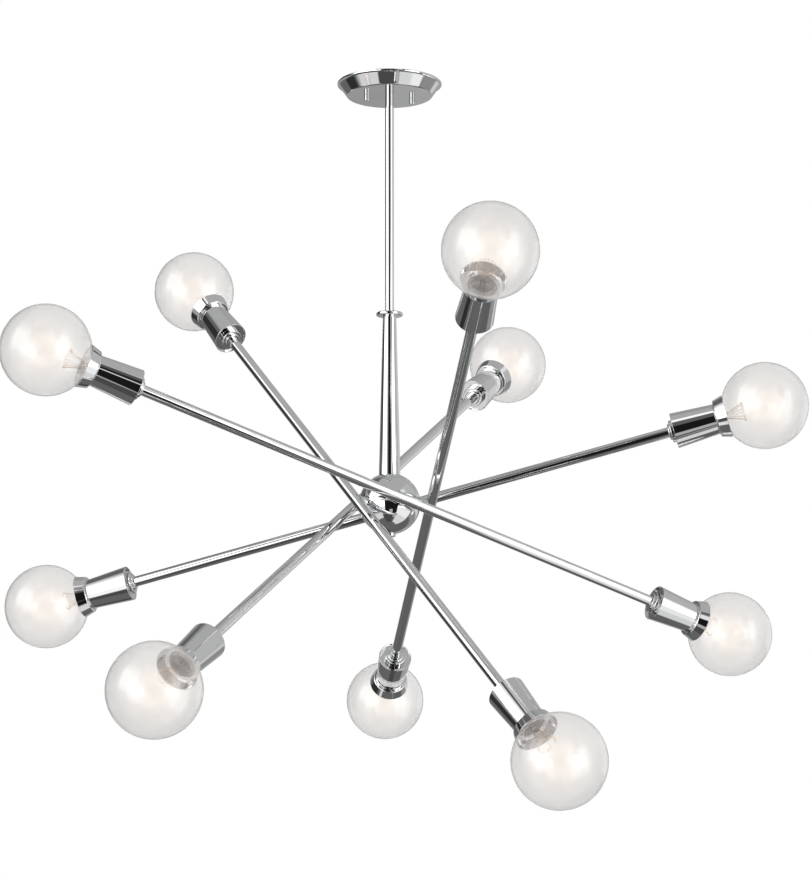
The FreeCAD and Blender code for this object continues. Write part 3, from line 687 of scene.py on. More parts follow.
def lathe(name, outline, segments=SEGMENTS, place=None):
    """Mesh object turned about X from a closed outline, then moved by the matrix place."""
    area = sum(cross2(a, b) for a, b in zip(outline, outline[1:] + outline[:1]))
    if area < 0:
        outline = outline[::-1]
    rows, verts, travelled, lengths = [], [], 0.0, []
    for i, point in enumerate(outline):
        if i:
            travelled += (point - outline[i - 1]).length
        lengths.append(travelled)
        ring = 1 if point.y < TINY else segments
        rows.append(range(len(verts), len(verts) + ring))
        for j in range(ring):
            angle = 2 * math.pi * j / segments
            verts.append((point.x, point.y * math.cos(angle), point.y * math.sin(angle)))
    lengths.append(travelled + (outline[0] - outline[-1]).length)
    faces, marks = [], []
    for i, row in enumerate(rows):
        after = rows[(i + 1) % len(rows)]
        if len(row) == 1 and len(after) == 1:
            continue
        for j in range(segments):
            k = (j + 1) % segments
            loop = [(row[j % len(row)], j, i), (after[j % len(after)], j, i + 1),
                    (after[k % len(after)], j + 1, i + 1), (row[k % len(row)], j + 1, i)]
            if len(after) == 1:
                del loop[2]
            elif len(row) == 1:
                del loop[3]
            faces.append([corner[0] for corner in loop])
            marks += [(corner[1] / segments, lengths[corner[2]]) for corner in loop]
    mesh = bpy.data.meshes.new(name)
    mesh.from_pydata(verts, [], faces)
    layer = mesh.uv_layers.new(name="UVMap")
    for slot, mark in zip(layer.data, marks):
        slot.uv = mark
    mesh.shade_smooth()
    if place is not None:
        mesh.transform(place)
    made = bpy.data.objects.new(name, mesh)
    scene.collection.objects.link(made)
    return made


# A matrix that stands a turned piece up, so that along becomes up.
STANDING = Matrix(((0, 1, 0, 0), (0, 0, 1, 0), (1, 0, 0, 0), (0, 0, 0, 1)))


def dress(piece, material, body, slot_name, *nodes):
    """Give a finished mesh its material and body, and let it stand for CAD nodes; the slot name is not
    used.
    """
    if not piece.data.materials:
        piece.data.materials.append(material)
    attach(piece, body)
    if nodes:
        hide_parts(*nodes)
    triangles = sum(len(face.vertices) - 2 for face in piece.data.polygons)
    print("%-24s %6d triangles on %s" % (piece.name, triangles, body))
    return piece


# %% [markdown]
# Holes are bored with a boolean, as on the bench.  Afterwards the edges of the holes are marked
# sharp, so that the curved surface round them still shades as one smooth curve.

# %% Bore and trim
SHARP_ANGLE = math.radians(35)
HOLE_GAP = 0.2 * MM           # round a neck or screw that passes freely
SEAT_GAP = 0.05 * MM          # between pieces that sit close


def shaped_mesh(host):
    """New mesh of an object as its modifiers or its bevel leave it."""
    graph = bpy.context.evaluated_depsgraph_get()
    return bpy.data.meshes.new_from_object(host.evaluated_get(graph))


def settle(host):
    """Make what the modifiers give an object its own plain mesh."""
    mesh = shaped_mesh(host)
    host.modifiers.clear()
    old = host.data
    host.data = mesh
    bpy.data.meshes.remove(old)
    mesh.name = host.name
    return mesh


def bored(piece, cutters):
    """Take the cutters away from a piece."""
    for cutter in cutters:
        cut = piece.modifiers.new("bore", "BOOLEAN")
        cut.operation = "DIFFERENCE"
        cut.solver = "EXACT"
        cut.object = cutter
    mesh = settle(piece)
    for cutter in cutters:
        bpy.data.meshes.remove(cutter.data)
    mesh.shade_smooth()
    mesh.set_sharp_from_angle(angle=SHARP_ANGLE)
    return piece


def plain_rod(radius, start, end, segments=TINY_SEGMENTS):
    """Round cutter between two points."""
    way = end - start
    place = Matrix.Translation(start) @ way.to_track_quat("X", "Z").to_matrix().to_4x4()
    corners = ((0, 0), (0, radius), (way.length, radius), (way.length, 0))
    return lathe("cutter", [Vector(corner) for corner in corners], segments, place)


def hub_piece(name, corners, segments, node):
    """Turned chrome piece that stands on the hub's axis, in place of one CAD node."""
    piece = lathe(name, rounded(corners), segments, STANDING)
    return dress(piece, CHROME, HUB_BODY, "polished_chrome", node)


# %% [markdown]
# ## The canopy
# The canopy is a shallow spun dish, pressed against the ceiling.  Its side flares up to a rolled
# rim.  The outline runs over the face, up the side, round the rim and back inside, so the dish has
# its real wall.  Two holes are bored for the studs.

# %% Canopy
canopy_low, canopy_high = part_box("canopy")
CANOPY_HEIGHT = -canopy_low.z
RIM_BEAD = 1.4 * MM
CANOPY_RIM_R = canopy_high.x - RIM_BEAD / 2
CANOPY_FLARE = 14.0 * MM
CANOPY_FACE_R = CANOPY_RIM_R - CANOPY_FLARE
CANOPY_SLOPE = CANOPY_FLARE / CANOPY_HEIGHT
CANOPY_WALL = 1.4 * MM
STEM_HOLE_R = 5.05 * MM
NUT_REACH = 35.0 * MM
NUT_LINE = math.radians(15)
NUT_WAY = Vector((math.cos(NUT_LINE), math.sin(NUT_LINE), 0))
STUD_R = 2.0 * MM
RIM_DROP = 2.6 * RIM_BEAD     # from the ceiling down to where the rolled rim begins
DRILL_TOP = -15.0 * MM
DRILL_FOOT = -25.0 * MM


def canopy_outline():
    """Face, flared side, rolled rim and back inside."""
    inside = CANOPY_FACE_R + CANOPY_SLOPE * CANOPY_WALL - CANOPY_WALL
    low = -CANOPY_HEIGHT
    return rounded([
        (low, STEM_HOLE_R, 0.2 * MM),
        (low, CANOPY_FACE_R, 3.0 * MM),
        (-RIM_DROP, CANOPY_RIM_R - CANOPY_SLOPE * RIM_DROP, 0.8 * MM),
        (-2.0 * RIM_BEAD, CANOPY_RIM_R + 0.35 * RIM_BEAD, 0.5 * MM),
        (-RIM_BEAD, CANOPY_RIM_R + 0.5 * RIM_BEAD, 0.7 * RIM_BEAD),
        (0, CANOPY_RIM_R + 0.3 * RIM_BEAD, 0.7 * RIM_BEAD),
        (0, CANOPY_RIM_R - RIM_BEAD, 0.5 * MM),
        (low + CANOPY_WALL, inside, 2.2 * MM),
        (low + CANOPY_WALL, STEM_HOLE_R, 0.2 * MM),
    ])


canopy = lathe("canopy_dish", canopy_outline(), WIDE_SEGMENTS, STANDING)
stud_holes = []
for side in (-1, 1):
    foot = NUT_WAY * NUT_REACH * side
    stud_holes.append(plain_rod(STUD_R + HOLE_GAP, foot + UP * DRILL_FOOT, foot + UP * DRILL_TOP))
bored(canopy, stud_holes)
dress(canopy, CHROME, HUB_BODY, "polished_chrome", "canopy")

# %% [markdown]
# ## The canopy nuts
# Two small cylindrical nuts hold the canopy up.  They are the same piece twice, so one nut is
# turned and a Geometry Nodes tree sets a copy at each end of a line.

# %% Helpers for Geometry Nodes
def geometry_tree(name, inputs):
    """A Geometry Nodes tree with named inputs, its input sockets and its output socket."""
    tree = bpy.data.node_groups.new(name, "GeometryNodeTree")
    for label, kind in inputs.items():
        tree.interface.new_socket(name=label, in_out="INPUT", socket_type="NodeSocket" + kind)
    tree.interface.new_socket(name="Geometry", in_out="OUTPUT", socket_type="NodeSocketGeometry")
    given = add(tree, "NodeGroupInput").outputs
    return tree, given, add(tree, "NodeGroupOutput").inputs["Geometry"]


def end_tree(tree, geometry, material, result):
    """Every tree ends the same way: real geometry, in its material."""
    real = add(tree, "GeometryNodeRealizeInstances")
    put(tree, real.inputs["Geometry"], geometry)
    finish = add(tree, "GeometryNodeSetMaterial")
    put(tree, finish.inputs["Geometry"], real.outputs["Geometry"])
    put(tree, finish.inputs["Material"], material)
    put(tree, result, finish.outputs["Geometry"])


def grown(name, tree, values, start=None):
    """Run a tree with its inputs set, and keep the result as a plain mesh object."""
    host = start or bpy.data.objects.new(name, bpy.data.meshes.new(name))
    host.name = name
    if host.name not in scene.collection.objects:
        scene.collection.objects.link(host)
    modifier = host.modifiers.new("grow", "NODES")
    modifier.node_group = tree
    sockets = {item.name: item.identifier for item in tree.interface.items_tree
               if item.in_out == "INPUT"}
    for label, value in values.items():
        modifier[sockets[label]] = list(value) if isinstance(value, Vector) else value
    mesh = settle(host)
    mesh.materials.clear()
    mesh.materials.append(values["Material"])
    mesh.polygons.foreach_set("material_index", [0] * len(mesh.polygons))
    return host


def discard(piece):
    """Drop a pattern that has been copied; its object goes with its mesh."""
    bpy.data.meshes.remove(piece.data)


def two_points(tree, start, end):
    """A mesh of two points, at the ends of a line."""
    line = add(tree, "GeometryNodeMeshLine", mode="END_POINTS")
    put(tree, line.inputs["Count"], 2)
    put(tree, line.inputs["Start Location"], start)
    put(tree, line.inputs["Offset"], end)
    return line.outputs["Mesh"]


def copies_on(tree, points, piece, rotation=None):
    """Copies of an object on points, each turned by the rotation."""
    source = add(tree, "GeometryNodeObjectInfo")
    put(tree, source.inputs["Object"], piece)
    copies = add(tree, "GeometryNodeInstanceOnPoints")
    put(tree, copies.inputs["Points"], points)
    put(tree, copies.inputs["Instance"], source.outputs["Geometry"])
    put(tree, copies.inputs["Rotation"], rotation)
    return copies.outputs["Instances"]


# %% Tree: copies at both ends of a line
def ends_tree():
    """A copy of a piece at each of two places."""
    tree, given, result = geometry_tree("copies at both ends", {
        "Piece": "Object", "Start": "Vector", "End": "Vector", "Material": "Material"})
    copies = copies_on(tree, two_points(tree, given["Start"], given["End"]), given["Piece"])
    end_tree(tree, copies, given["Material"], result)
    return tree


# %% Canopy nuts
nut_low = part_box("canopy_nuts")[0].z
NUT_R = 4.0 * MM
NUT_CAP = 1.9 * MM            # thickness of the nut's closed end
one_nut = lathe("one_nut", rounded([
    (nut_low, 0),
    (nut_low, NUT_R, 0.8 * MM),
    (-CANOPY_HEIGHT, NUT_R, 0.3 * MM),
    (-CANOPY_HEIGHT, STUD_R + SEAT_GAP),
    (nut_low + NUT_CAP, STUD_R + SEAT_GAP),
    (nut_low + NUT_CAP, 0),
]), TINY_SEGMENTS, STANDING)
canopy_nuts = grown("canopy_nut_pair", ends_tree(), {
    "Piece": one_nut, "Start": NUT_WAY * -NUT_REACH, "End": NUT_WAY * NUT_REACH, "Material": CHROME})
discard(one_nut)
dress(canopy_nuts, CHROME, HUB_BODY, "polished_chrome", "canopy_nuts")

# %% [markdown]
# ## Stem, flange and column
# The stem is plain drawn tube with a threaded neck at each end.  The flange is a turned ring that
# hides the joint.  The column is a long taper, wider at the foot, and its foot is hollowed to sit
# on the ball.

# %% Stem, flange and column
column_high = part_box("column")[1]
flange_low, flange_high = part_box("column_flange")
stem_low, stem_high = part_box("stem")
STEM_R = stem_high.x
STEM_BORE_R = 3.2 * MM
NECK_R = 4.85 * MM
FLANGE_R = flange_high.x
NIPPLE_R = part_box("hub_nipple")[1].x
COLUMN_FOOT_R = column_high.x
COLUMN_TOP_R = 10.0 * MM
COLUMN_WALL = 2.0 * MM
COLUMN_PLUG = 14.0 * MM
SEAT_STEPS = 5

hub_piece("stem_tube", [
    (stem_low.z, STEM_BORE_R),
    (stem_low.z, NECK_R, 0.5 * MM),
    (column_high.z, NECK_R),
    (column_high.z, STEM_R),
    (-CANOPY_HEIGHT, STEM_R),
    (-CANOPY_HEIGHT, NECK_R),
    (stem_high.z, NECK_R, 0.5 * MM),
    (stem_high.z, STEM_BORE_R),
], SMALL_SEGMENTS, "stem")

hub_piece("column_ring", [
    (flange_low.z, STEM_R + HOLE_GAP),
    (flange_low.z, FLANGE_R, 2.0 * MM),
    (flange_high.z, FLANGE_R, 2.0 * MM),
    (flange_high.z, STEM_R + HOLE_GAP, 0.3 * MM),
], SEGMENTS, "column_flange")


def column_corners():
    """The long taper, its plugs for the necks, and the hollow foot that sits on the ball."""
    hub = HUB.z
    foot = hub + math.sqrt((BALL_R + SEAT_GAP) ** 2 - COLUMN_FOOT_R ** 2)
    top = column_high.z
    plug_low = hub + BALL_R + COLUMN_PLUG
    plug_high = top - COLUMN_PLUG
    slope = (COLUMN_FOOT_R - COLUMN_TOP_R) / (top - foot)

    def inside(height):
        return COLUMN_TOP_R + slope * (top - height) - COLUMN_WALL

    corners = [
        (foot, COLUMN_FOOT_R, 0.3 * MM),
        (top, COLUMN_TOP_R, 0.3 * MM),
        (top, NECK_R + SEAT_GAP),
        (plug_high, NECK_R + SEAT_GAP),
        (plug_high, inside(plug_high)),
        (plug_low, inside(plug_low)),
        (plug_low, NIPPLE_R + SEAT_GAP),
    ]
    bore = NIPPLE_R + SEAT_GAP
    for step in range(SEAT_STEPS):
        radius = bore + (COLUMN_FOOT_R - bore) * step / SEAT_STEPS
        corners.append((hub + math.sqrt((BALL_R + SEAT_GAP) ** 2 - radius ** 2), radius))
    return corners


hub_piece("column_taper", column_corners(), LARGE_SEGMENTS, "column")

# %% [markdown]
# ## The ball
# The ball is spun in two half shells that meet at the arms' level.  A fine bevel shows where they
# meet.  Five round passages are bored through the seam for the arms' shoulders.

# %% Ball
BALL_WALL = 1.6 * MM
SEAM_BEVEL = 0.35 * MM
SHOULDER_R = 7.5 * MM
SHOULDER_GAP = 0.6 * MM
CAP_SHANK_R = 3.0 * MM
BALL_STEPS = 40
DRILL_REACH = 1.4 * BALL_R


def ball_half(name, side, axial_hole):
    """Half shell above (1) or below (-1) the seam, with a hole round the hub's axis."""
    outer, inner = BALL_R, BALL_R - BALL_WALL
    seam = math.asin(SEAM_BEVEL / outer)
    pole_outer = math.acos(axial_hole / outer)
    pole_inner = math.acos(axial_hole / inner)
    path = [Vector((0, inner)), Vector((0, outer - SEAM_BEVEL))]
    for step in range(BALL_STEPS + 1):
        angle = seam + (pole_outer - seam) * step / BALL_STEPS
        path.append(Vector((side * outer * math.sin(angle), outer * math.cos(angle))))
    for step in range(BALL_STEPS, 0, -1):
        angle = pole_inner * step / BALL_STEPS
        path.append(Vector((side * inner * math.sin(angle), inner * math.cos(angle))))
    half = lathe(name, path, WIDE_SEGMENTS, Matrix.Translation(HUB) @ STANDING)
    passages = []
    for arm in ARMS.values():
        end = HUB + arm["outward"] * DRILL_REACH
        passages.append(plain_rod(SHOULDER_R + SHOULDER_GAP, HUB, end, SMALL_SEGMENTS))
    return bored(half, passages)


upper = ball_half("ball_top_shell", 1, NIPPLE_R + HOLE_GAP)
lower = ball_half("ball_bottom_shell", -1, CAP_SHANK_R + HOLE_GAP)
dress(upper, CHROME, HUB_BODY, "polished_chrome", "ball_upper")
dress(lower, CHROME, HUB_BODY, "polished_chrome", "ball_lower")

# %% [markdown]
# A low domed screw closes the ball from below and pulls the lower shell up against the core.

# %% Cap screw
cap_low, cap_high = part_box("hub_cap_screw")
CAP_HEAD_R = cap_high.x
CAP_DOME = 2.9 * MM           # rounding of the head
head_seat = HUB.z - math.sqrt((BALL_R + SEAT_GAP) ** 2 - CAP_HEAD_R ** 2)
hub_piece("cap_screw", [
    (cap_low.z, 0),
    (cap_low.z, CAP_HEAD_R, CAP_DOME),
    (head_seat, CAP_HEAD_R, 0.2 * MM),
    (HUB.z - BALL_R - SEAT_GAP, CAP_SHANK_R),
    (cap_high.z, CAP_SHANK_R, 0.5 * MM),
    (cap_high.z, 0),
], SMALL_SEGMENTS, "hub_cap_screw")

# %% [markdown]
# ## The arms
# All five arms are alike.  A hollow shoulder turns in the hub and carries the middle of a straight
# tube.  Everything beyond the tube's end is the same at both ends, so each lamp piece is turned
# once, with 0 at the end of the tube.  A Geometry Nodes tree then sets a copy at each end of each
# arm, facing outwards.

# %% Tree: a pair on an arm
def arm_tree():
    """A copy of a piece at each end of an arm, facing outwards."""
    tree, given, result = geometry_tree("pair on an arm", {
        "Piece": "Object", "Middle": "Vector", "Along": "Vector", "Outward": "Vector",
        "Half length": "Float", "Material": "Material"})

    def vector(operation, a, b):
        node = add(tree, "ShaderNodeVectorMath", operation=operation)
        put(tree, node.inputs[0], a)
        put(tree, node.inputs["Scale"] if operation == "SCALE" else node.inputs[1], b)
        return node.outputs[0]

    reach = vector("SCALE", given["Along"], given["Half length"])
    ends = two_points(tree, vector("SUBTRACT", given["Middle"], reach),
                      vector("ADD", given["Middle"], reach))
    index = add(tree, "GeometryNodeInputIndex").outputs[0]
    side = math_node(tree, "MULTIPLY_ADD", index, 2.0, -1.0)
    facing = add(tree, "FunctionNodeAxesToRotation", primary_axis="X", secondary_axis="Y")
    put(tree, facing.inputs["Primary Axis"], vector("SCALE", given["Along"], side))
    put(tree, facing.inputs["Secondary Axis"], vector("SCALE", given["Outward"], side))
    copies = copies_on(tree, ends, given["Piece"], facing.outputs[0])
    end_tree(tree, copies, given["Material"], result)
    return tree


ARM_TREE = arm_tree()


def on_every_arm(source, name, material, slot_name, cad_node=None):
    """Set a lamp piece at both ends of each arm, one mesh for each arm's body."""
    for body, arm in ARMS.items():
        pair = grown(body + "_" + name, ARM_TREE, {
            "Piece": source, "Middle": arm["middle"], "Along": arm["along"],
            "Outward": arm["outward"], "Half length": arm["half"], "Material": material})
        nodes = [body + "_" + cad_node] if cad_node else []
        dress(pair, material, body, slot_name, *nodes)
    discard(source)


# %% [markdown]
# ## Shoulders and tubes
# The shoulder is turned with a journal, a groove for the friction screw and a wider collar.  Its
# end is hollowed by the tube that it is brazed to.

# %% Shoulders and tubes
TUBE_WALL = 1.2 * MM
JOURNAL_R = 5.0 * MM
STUD_START = 16.0 * MM
STUD_BORE_R = 2.5 * MM
GROOVE_START = 24.5 * MM
GROOVE_END = 29.5 * MM
GROOVE_FLOOR_R = JOURNAL_R - 1.0 * MM
SHOULDER_START = 36.3 * MM
TUBE_END = ARMS["arm_a"]["half"]


def arm_frame(arm):
    """Matrix that lays local X along the arm and local Y outwards from the hub."""
    third = arm["along"].cross(arm["outward"])
    turned = Matrix((arm["along"], arm["outward"], third)).transposed()
    return Matrix.Translation(arm["middle"]) @ turned.to_4x4()


def outward_frame(arm):
    """Matrix that lays local X outwards from the hub's centre."""
    turned = Matrix((arm["outward"], arm["outward"].cross(arm["along"]), arm["along"])).transposed()
    if turned.determinant() < 0:
        turned.col[1] *= -1
    return Matrix.Translation(HUB) @ turned.to_4x4()


STUD_OUTLINE = rounded([
    (STUD_START, STUD_BORE_R),
    (STUD_START, JOURNAL_R, 0.5 * MM),
    (GROOVE_START, JOURNAL_R),
    (GROOVE_START, GROOVE_FLOOR_R),
    (GROOVE_END, GROOVE_FLOOR_R),
    (GROOVE_END, JOURNAL_R),
    (SHOULDER_START, JOURNAL_R),
    (SHOULDER_START, SHOULDER_R, 0.5 * MM),
    (PIVOT_R, SHOULDER_R),
    (PIVOT_R, STUD_BORE_R),
])
TUBE_OUTLINE = rounded([
    (-TUBE_END, TUBE_R - TUBE_WALL, 0.2 * MM),
    (-TUBE_END, TUBE_R, 0.3 * MM),
    (TUBE_END, TUBE_R, 0.3 * MM),
    (TUBE_END, TUBE_R - TUBE_WALL, 0.2 * MM),
])
for body, arm in ARMS.items():
    stud = lathe(body + "_shoulder", STUD_OUTLINE, SMALL_SEGMENTS, outward_frame(arm))
    reach = arm["along"] * 2 * TUBE_R
    saddle = plain_rod(TUBE_R, arm["middle"] - reach, arm["middle"] + reach, SMALL_SEGMENTS)
    bored(stud, [saddle])
    dress(stud, CHROME, body, "polished_chrome", body + "_pivot_stud")
    tube = lathe(body + "_long_tube", TUBE_OUTLINE, SMALL_SEGMENTS, arm_frame(arm))
    dress(tube, CHROME, body, "polished_chrome", body + "_tube")

# %% [markdown]
# ## End fitting, cup and collar
# From the tube outwards come a small step, a wide disc, the tapered cup that hides the lampholder,
# and the flared collar round the lamp's neck.  The cup has a shallow recess in its back, which the
# disc stands in.

# %% End fittings
STEP_R = 12.0 * MM
STEP_LENGTH = 3.0 * MM
DISC_R = 16.5 * MM
DISC_END = 11.0 * MM
CUP_START = 8.0 * MM
CUP_RECESS = 3.0 * MM
CUP_WALL = 1.2 * MM
SPIGOT = 14.0 * MM
HOLDER_START = CUP_START + CUP_RECESS + CUP_WALL
NECK_END = HOLDER_START + 5.0 * MM

fitting = lathe("fitting", rounded([
    (-SPIGOT, STEM_BORE_R),
    (-SPIGOT, TUBE_R - TUBE_WALL - SEAT_GAP, 0.6 * MM),
    (0, TUBE_R - TUBE_WALL - SEAT_GAP),
    (0, STEP_R, 1.3 * MM),
    (STEP_LENGTH, STEP_R, 0.25 * MM),
    (STEP_LENGTH, DISC_R, 1.3 * MM),
    (DISC_END, DISC_R, 0.4 * MM),
    (DISC_END, NECK_R),
    (NECK_END, NECK_R),
    (NECK_END, STEM_BORE_R),
]))
on_every_arm(fitting, "stepped_fittings", CHROME, "polished_chrome", "end_fittings")

# %% Cups
CUP_LENGTH = 63.0 * MM
CUP_END = CUP_START + CUP_LENGTH
CUP_BACK_R = 26.2 * MM
CUP_MOUTH_R = 22.3 * MM


def cup_inside(along):
    """Inside radius of the cup at a place along the arm."""
    slope = (CUP_BACK_R - CUP_MOUTH_R) / CUP_LENGTH
    return CUP_BACK_R - slope * (along - CUP_START) - CUP_WALL


cup = lathe("cup", rounded([
    (CUP_START + CUP_RECESS, NECK_R + HOLE_GAP),
    (CUP_START + CUP_RECESS, cup_inside(CUP_START + CUP_RECESS), 0.6 * MM),
    (CUP_START, cup_inside(CUP_START), 0.4 * MM),
    (CUP_START, CUP_BACK_R, 0.7 * MM),
    (CUP_END, CUP_MOUTH_R, 0.4 * MM),
    (CUP_END, cup_inside(CUP_END)),
    (HOLDER_START, cup_inside(HOLDER_START), 0.6 * MM),
    (HOLDER_START, NECK_R + HOLE_GAP),
]), LARGE_SEGMENTS)
on_every_arm(cup, "tapered_cups", CHROME, "polished_chrome", "cups")

# %% Collars
SLEEVE_R = CUP_MOUTH_R - CUP_WALL - SEAT_GAP
COLLAR_WALL = 1.1 * MM
COLLAR_BEAD = 1.2 * MM
COLLAR_LENGTH = 15.6 * MM
COLLAR_BEAD_R = 22.9 * MM
COLLAR_BACK_R = 27.0 * MM
COLLAR_RIM_R = 31.4 * MM
COLLAR_CORNER = 2.0 * MM
RIM_PLANE = CUP_END + COLLAR_LENGTH + COLLAR_BEAD
HOLDER_LENGTH = 46.0 * MM
HOLDER_END = HOLDER_START + HOLDER_LENGTH
collar_back = CUP_END + COLLAR_BEAD

collar = lathe("collar", rounded([
    (HOLDER_END, SLEEVE_R - COLLAR_WALL),
    (HOLDER_END, SLEEVE_R),
    (CUP_END, SLEEVE_R),
    (CUP_END, COLLAR_BEAD_R, 0.4 * MM),
    (collar_back, COLLAR_BEAD_R, 0.2 * MM),
    (collar_back, COLLAR_BACK_R, COLLAR_CORNER),
    (RIM_PLANE, COLLAR_RIM_R, 0.3 * MM),
    (RIM_PLANE, COLLAR_RIM_R - COLLAR_WALL, 0.3 * MM),
    (collar_back + COLLAR_WALL, COLLAR_BACK_R - COLLAR_WALL, COLLAR_CORNER - COLLAR_WALL / 2),
    (collar_back + COLLAR_WALL, SLEEVE_R - COLLAR_WALL, 0.5 * MM),
]), LARGE_SEGMENTS)
on_every_arm(collar, "flared_collars", CHROME, "polished_chrome", "collars")

# %% [markdown]
# ## Lampholder and lamp base
# Inside the cup a porcelain lampholder takes the lamp's screw base.  The base is thin metal rolled
# into a thread, so its radius rises and falls along a helix.  A short Geometry Nodes tree moves
# the rings of a plain turned tube in and out to roll that thread.

# %% Lampholders
HOLDER_R = 18.2 * MM
HOLDER_FLANGE = 2.5 * MM
SCREW_R = 13.1 * MM
SKIRT_R = 14.0 * MM
LAMP_NECK_R = 16.5 * MM
LAMP_GAP = 0.4 * MM
LAMP_TIP = HOLDER_START + 10.0 * MM
SKIRT_END = LAMP_TIP + 26.0 * MM

holder = lathe("holder", rounded([
    (HOLDER_START, NECK_R),
    (HOLDER_START, HOLDER_R, 2.0 * MM),
    (HOLDER_END - HOLDER_FLANGE, HOLDER_R, 0.4 * MM),
    (HOLDER_END - HOLDER_FLANGE, SLEEVE_R, 0.3 * MM),
    (HOLDER_END, SLEEVE_R, 0.3 * MM),
    (HOLDER_END, LAMP_NECK_R + LAMP_GAP, 0.6 * MM),
    (SKIRT_END + 1 * MM, LAMP_NECK_R + LAMP_GAP),
    (SKIRT_END - 5 * MM, SKIRT_R + LAMP_GAP),
    (SKIRT_END - 6 * MM, SCREW_R + LAMP_GAP),
    (LAMP_TIP, SCREW_R + LAMP_GAP),
    (LAMP_TIP, 0),
    (NECK_END, 0),
    (NECK_END, NECK_R),
]), SMALL_SEGMENTS)
on_every_arm(holder, "porcelain_holders", CERAMIC, "socket_ceramic", "lampholders")


# %% Tree: rolled thread
def thread_tree():
    """Rings of a turned tube pulled inwards along a helix."""
    tree, given, result = geometry_tree("rolled thread", {
        "Geometry in": "Geometry", "Start": "Float", "End": "Float", "Pitch": "Float",
        "Depth": "Float", "Least radius": "Float", "Material": "Material"})
    place = add(tree, "GeometryNodeInputPosition").outputs[0]
    axes = add(tree, "ShaderNodeSeparateXYZ")
    put(tree, axes.inputs[0], place)
    along = axes.outputs["X"]
    across = add(tree, "ShaderNodeCombineXYZ")
    put(tree, across.inputs["Y"], axes.outputs["Y"])
    put(tree, across.inputs["Z"], axes.outputs["Z"])
    size = add(tree, "ShaderNodeVectorMath", operation="LENGTH")
    put(tree, size.inputs[0], across.outputs[0])
    angle = math_node(tree, "ARCTAN2", axes.outputs["Z"], axes.outputs["Y"])
    turns = math_node(tree, "DIVIDE", along, given["Pitch"])
    backwards = math_node(tree, "MULTIPLY", angle, -1.0)
    phase = math_node(tree, "MULTIPLY_ADD", turns, 2 * math.pi, backwards)
    wave = math_node(tree, "MULTIPLY_ADD", math_node(tree, "COSINE", phase), 0.5, -0.5)
    after = math_node(tree, "GREATER_THAN", along, given["Start"])
    before = math_node(tree, "LESS_THAN", along, given["End"])
    outside = math_node(tree, "GREATER_THAN", size.outputs["Value"], given["Least radius"])
    here = math_node(tree, "MULTIPLY", math_node(tree, "MULTIPLY", after, before), outside)
    depth = math_node(tree, "MULTIPLY", math_node(tree, "MULTIPLY", wave, given["Depth"]), here)
    way = add(tree, "ShaderNodeVectorMath", operation="NORMALIZE")
    put(tree, way.inputs[0], across.outputs[0])
    shift = add(tree, "ShaderNodeVectorMath", operation="SCALE")
    put(tree, shift.inputs[0], way.outputs[0])
    put(tree, shift.inputs["Scale"], depth)
    move = add(tree, "GeometryNodeSetPosition")
    put(tree, move.inputs["Geometry"], given["Geometry in"])
    put(tree, move.inputs["Offset"], shift.outputs[0])
    end_tree(tree, move.outputs["Geometry"], given["Material"], result)
    return tree


# %% Lamp bases
THREAD_PITCH = 3.63 * MM
THREAD_DEPTH = 0.6 * MM
THREAD_ROWS = 10
THREAD_START = LAMP_TIP + 4.5 * MM
THREAD_END = SKIRT_END - 6.5 * MM
BASE_WALL = 1.6 * MM
GLASS_FOOT = SKIRT_END - 2.0 * MM
GLASS_FOOT_R = SKIRT_R - 1.0 * MM

# The tip's contact button and its insulator come first, then a ring for every step of the thread,
# then the skirt that the glass stands in, and the way back inside.
base_outline = rounded([
    (LAMP_TIP, 0),
    (LAMP_TIP, 4.5 * MM, 0.8 * MM),
    (LAMP_TIP + 1.5 * MM, 5.0 * MM, 0.3 * MM),
    (LAMP_TIP + 4.0 * MM, SCREW_R - 1.0 * MM, 0.6 * MM),
])
row_step = THREAD_PITCH / THREAD_ROWS
rows = int((THREAD_END - THREAD_START) / row_step)
base_outline = [p for p in base_outline if p.x < THREAD_START]
base_outline += [Vector((THREAD_START + row_step * i, SCREW_R)) for i in range(rows + 1)]
base_outline += [p for p in rounded([
    (THREAD_END, SCREW_R),
    (GLASS_FOOT - 1 * MM, SKIRT_R, 0.6 * MM),
    (SKIRT_END, SKIRT_R, 0.3 * MM),
    (SKIRT_END, GLASS_FOOT_R + 0.7 * MM),
    (GLASS_FOOT, GLASS_FOOT_R),
    (GLASS_FOOT, SCREW_R - BASE_WALL),
    (LAMP_TIP + 6 * MM, SCREW_R - BASE_WALL),
    (LAMP_TIP + 6 * MM, 0),
]) if p.x > THREAD_END - 0.1 * MM or p.y < SCREW_R - BASE_WALL + 0.1 * MM]
base = lathe("base", base_outline, SMALL_SEGMENTS)
base = grown("base", thread_tree(), {
    "Start": THREAD_START, "End": THREAD_START + row_step * rows, "Pitch": THREAD_PITCH,
    "Depth": THREAD_DEPTH, "Least radius": SCREW_R - 0.8 * MM, "Material": CAP}, base)
on_every_arm(base, "screw_bases", CAP, "lamp_cap", "lamp_bases")

# %% [markdown]
# ## Globes
# A globe lamp's glass is a sphere that runs into its neck by a hollow curve, and then narrows to
# the foot that sits in the cap.  The outline is worked out from tangent circles, once for the
# outside and once for the inside, so the wall is the same everywhere.

# %% Globes
GLOBE_R = 63.35 * MM
GLOBE_CENTRE = 144.0 * MM
GLASS_WALL = 0.6 * MM
NECK_BLEND = 8.0 * MM
FOOT_FLARE = 10.0 * MM
BLEND_STEPS = 8
SPHERE_STEPS = 56


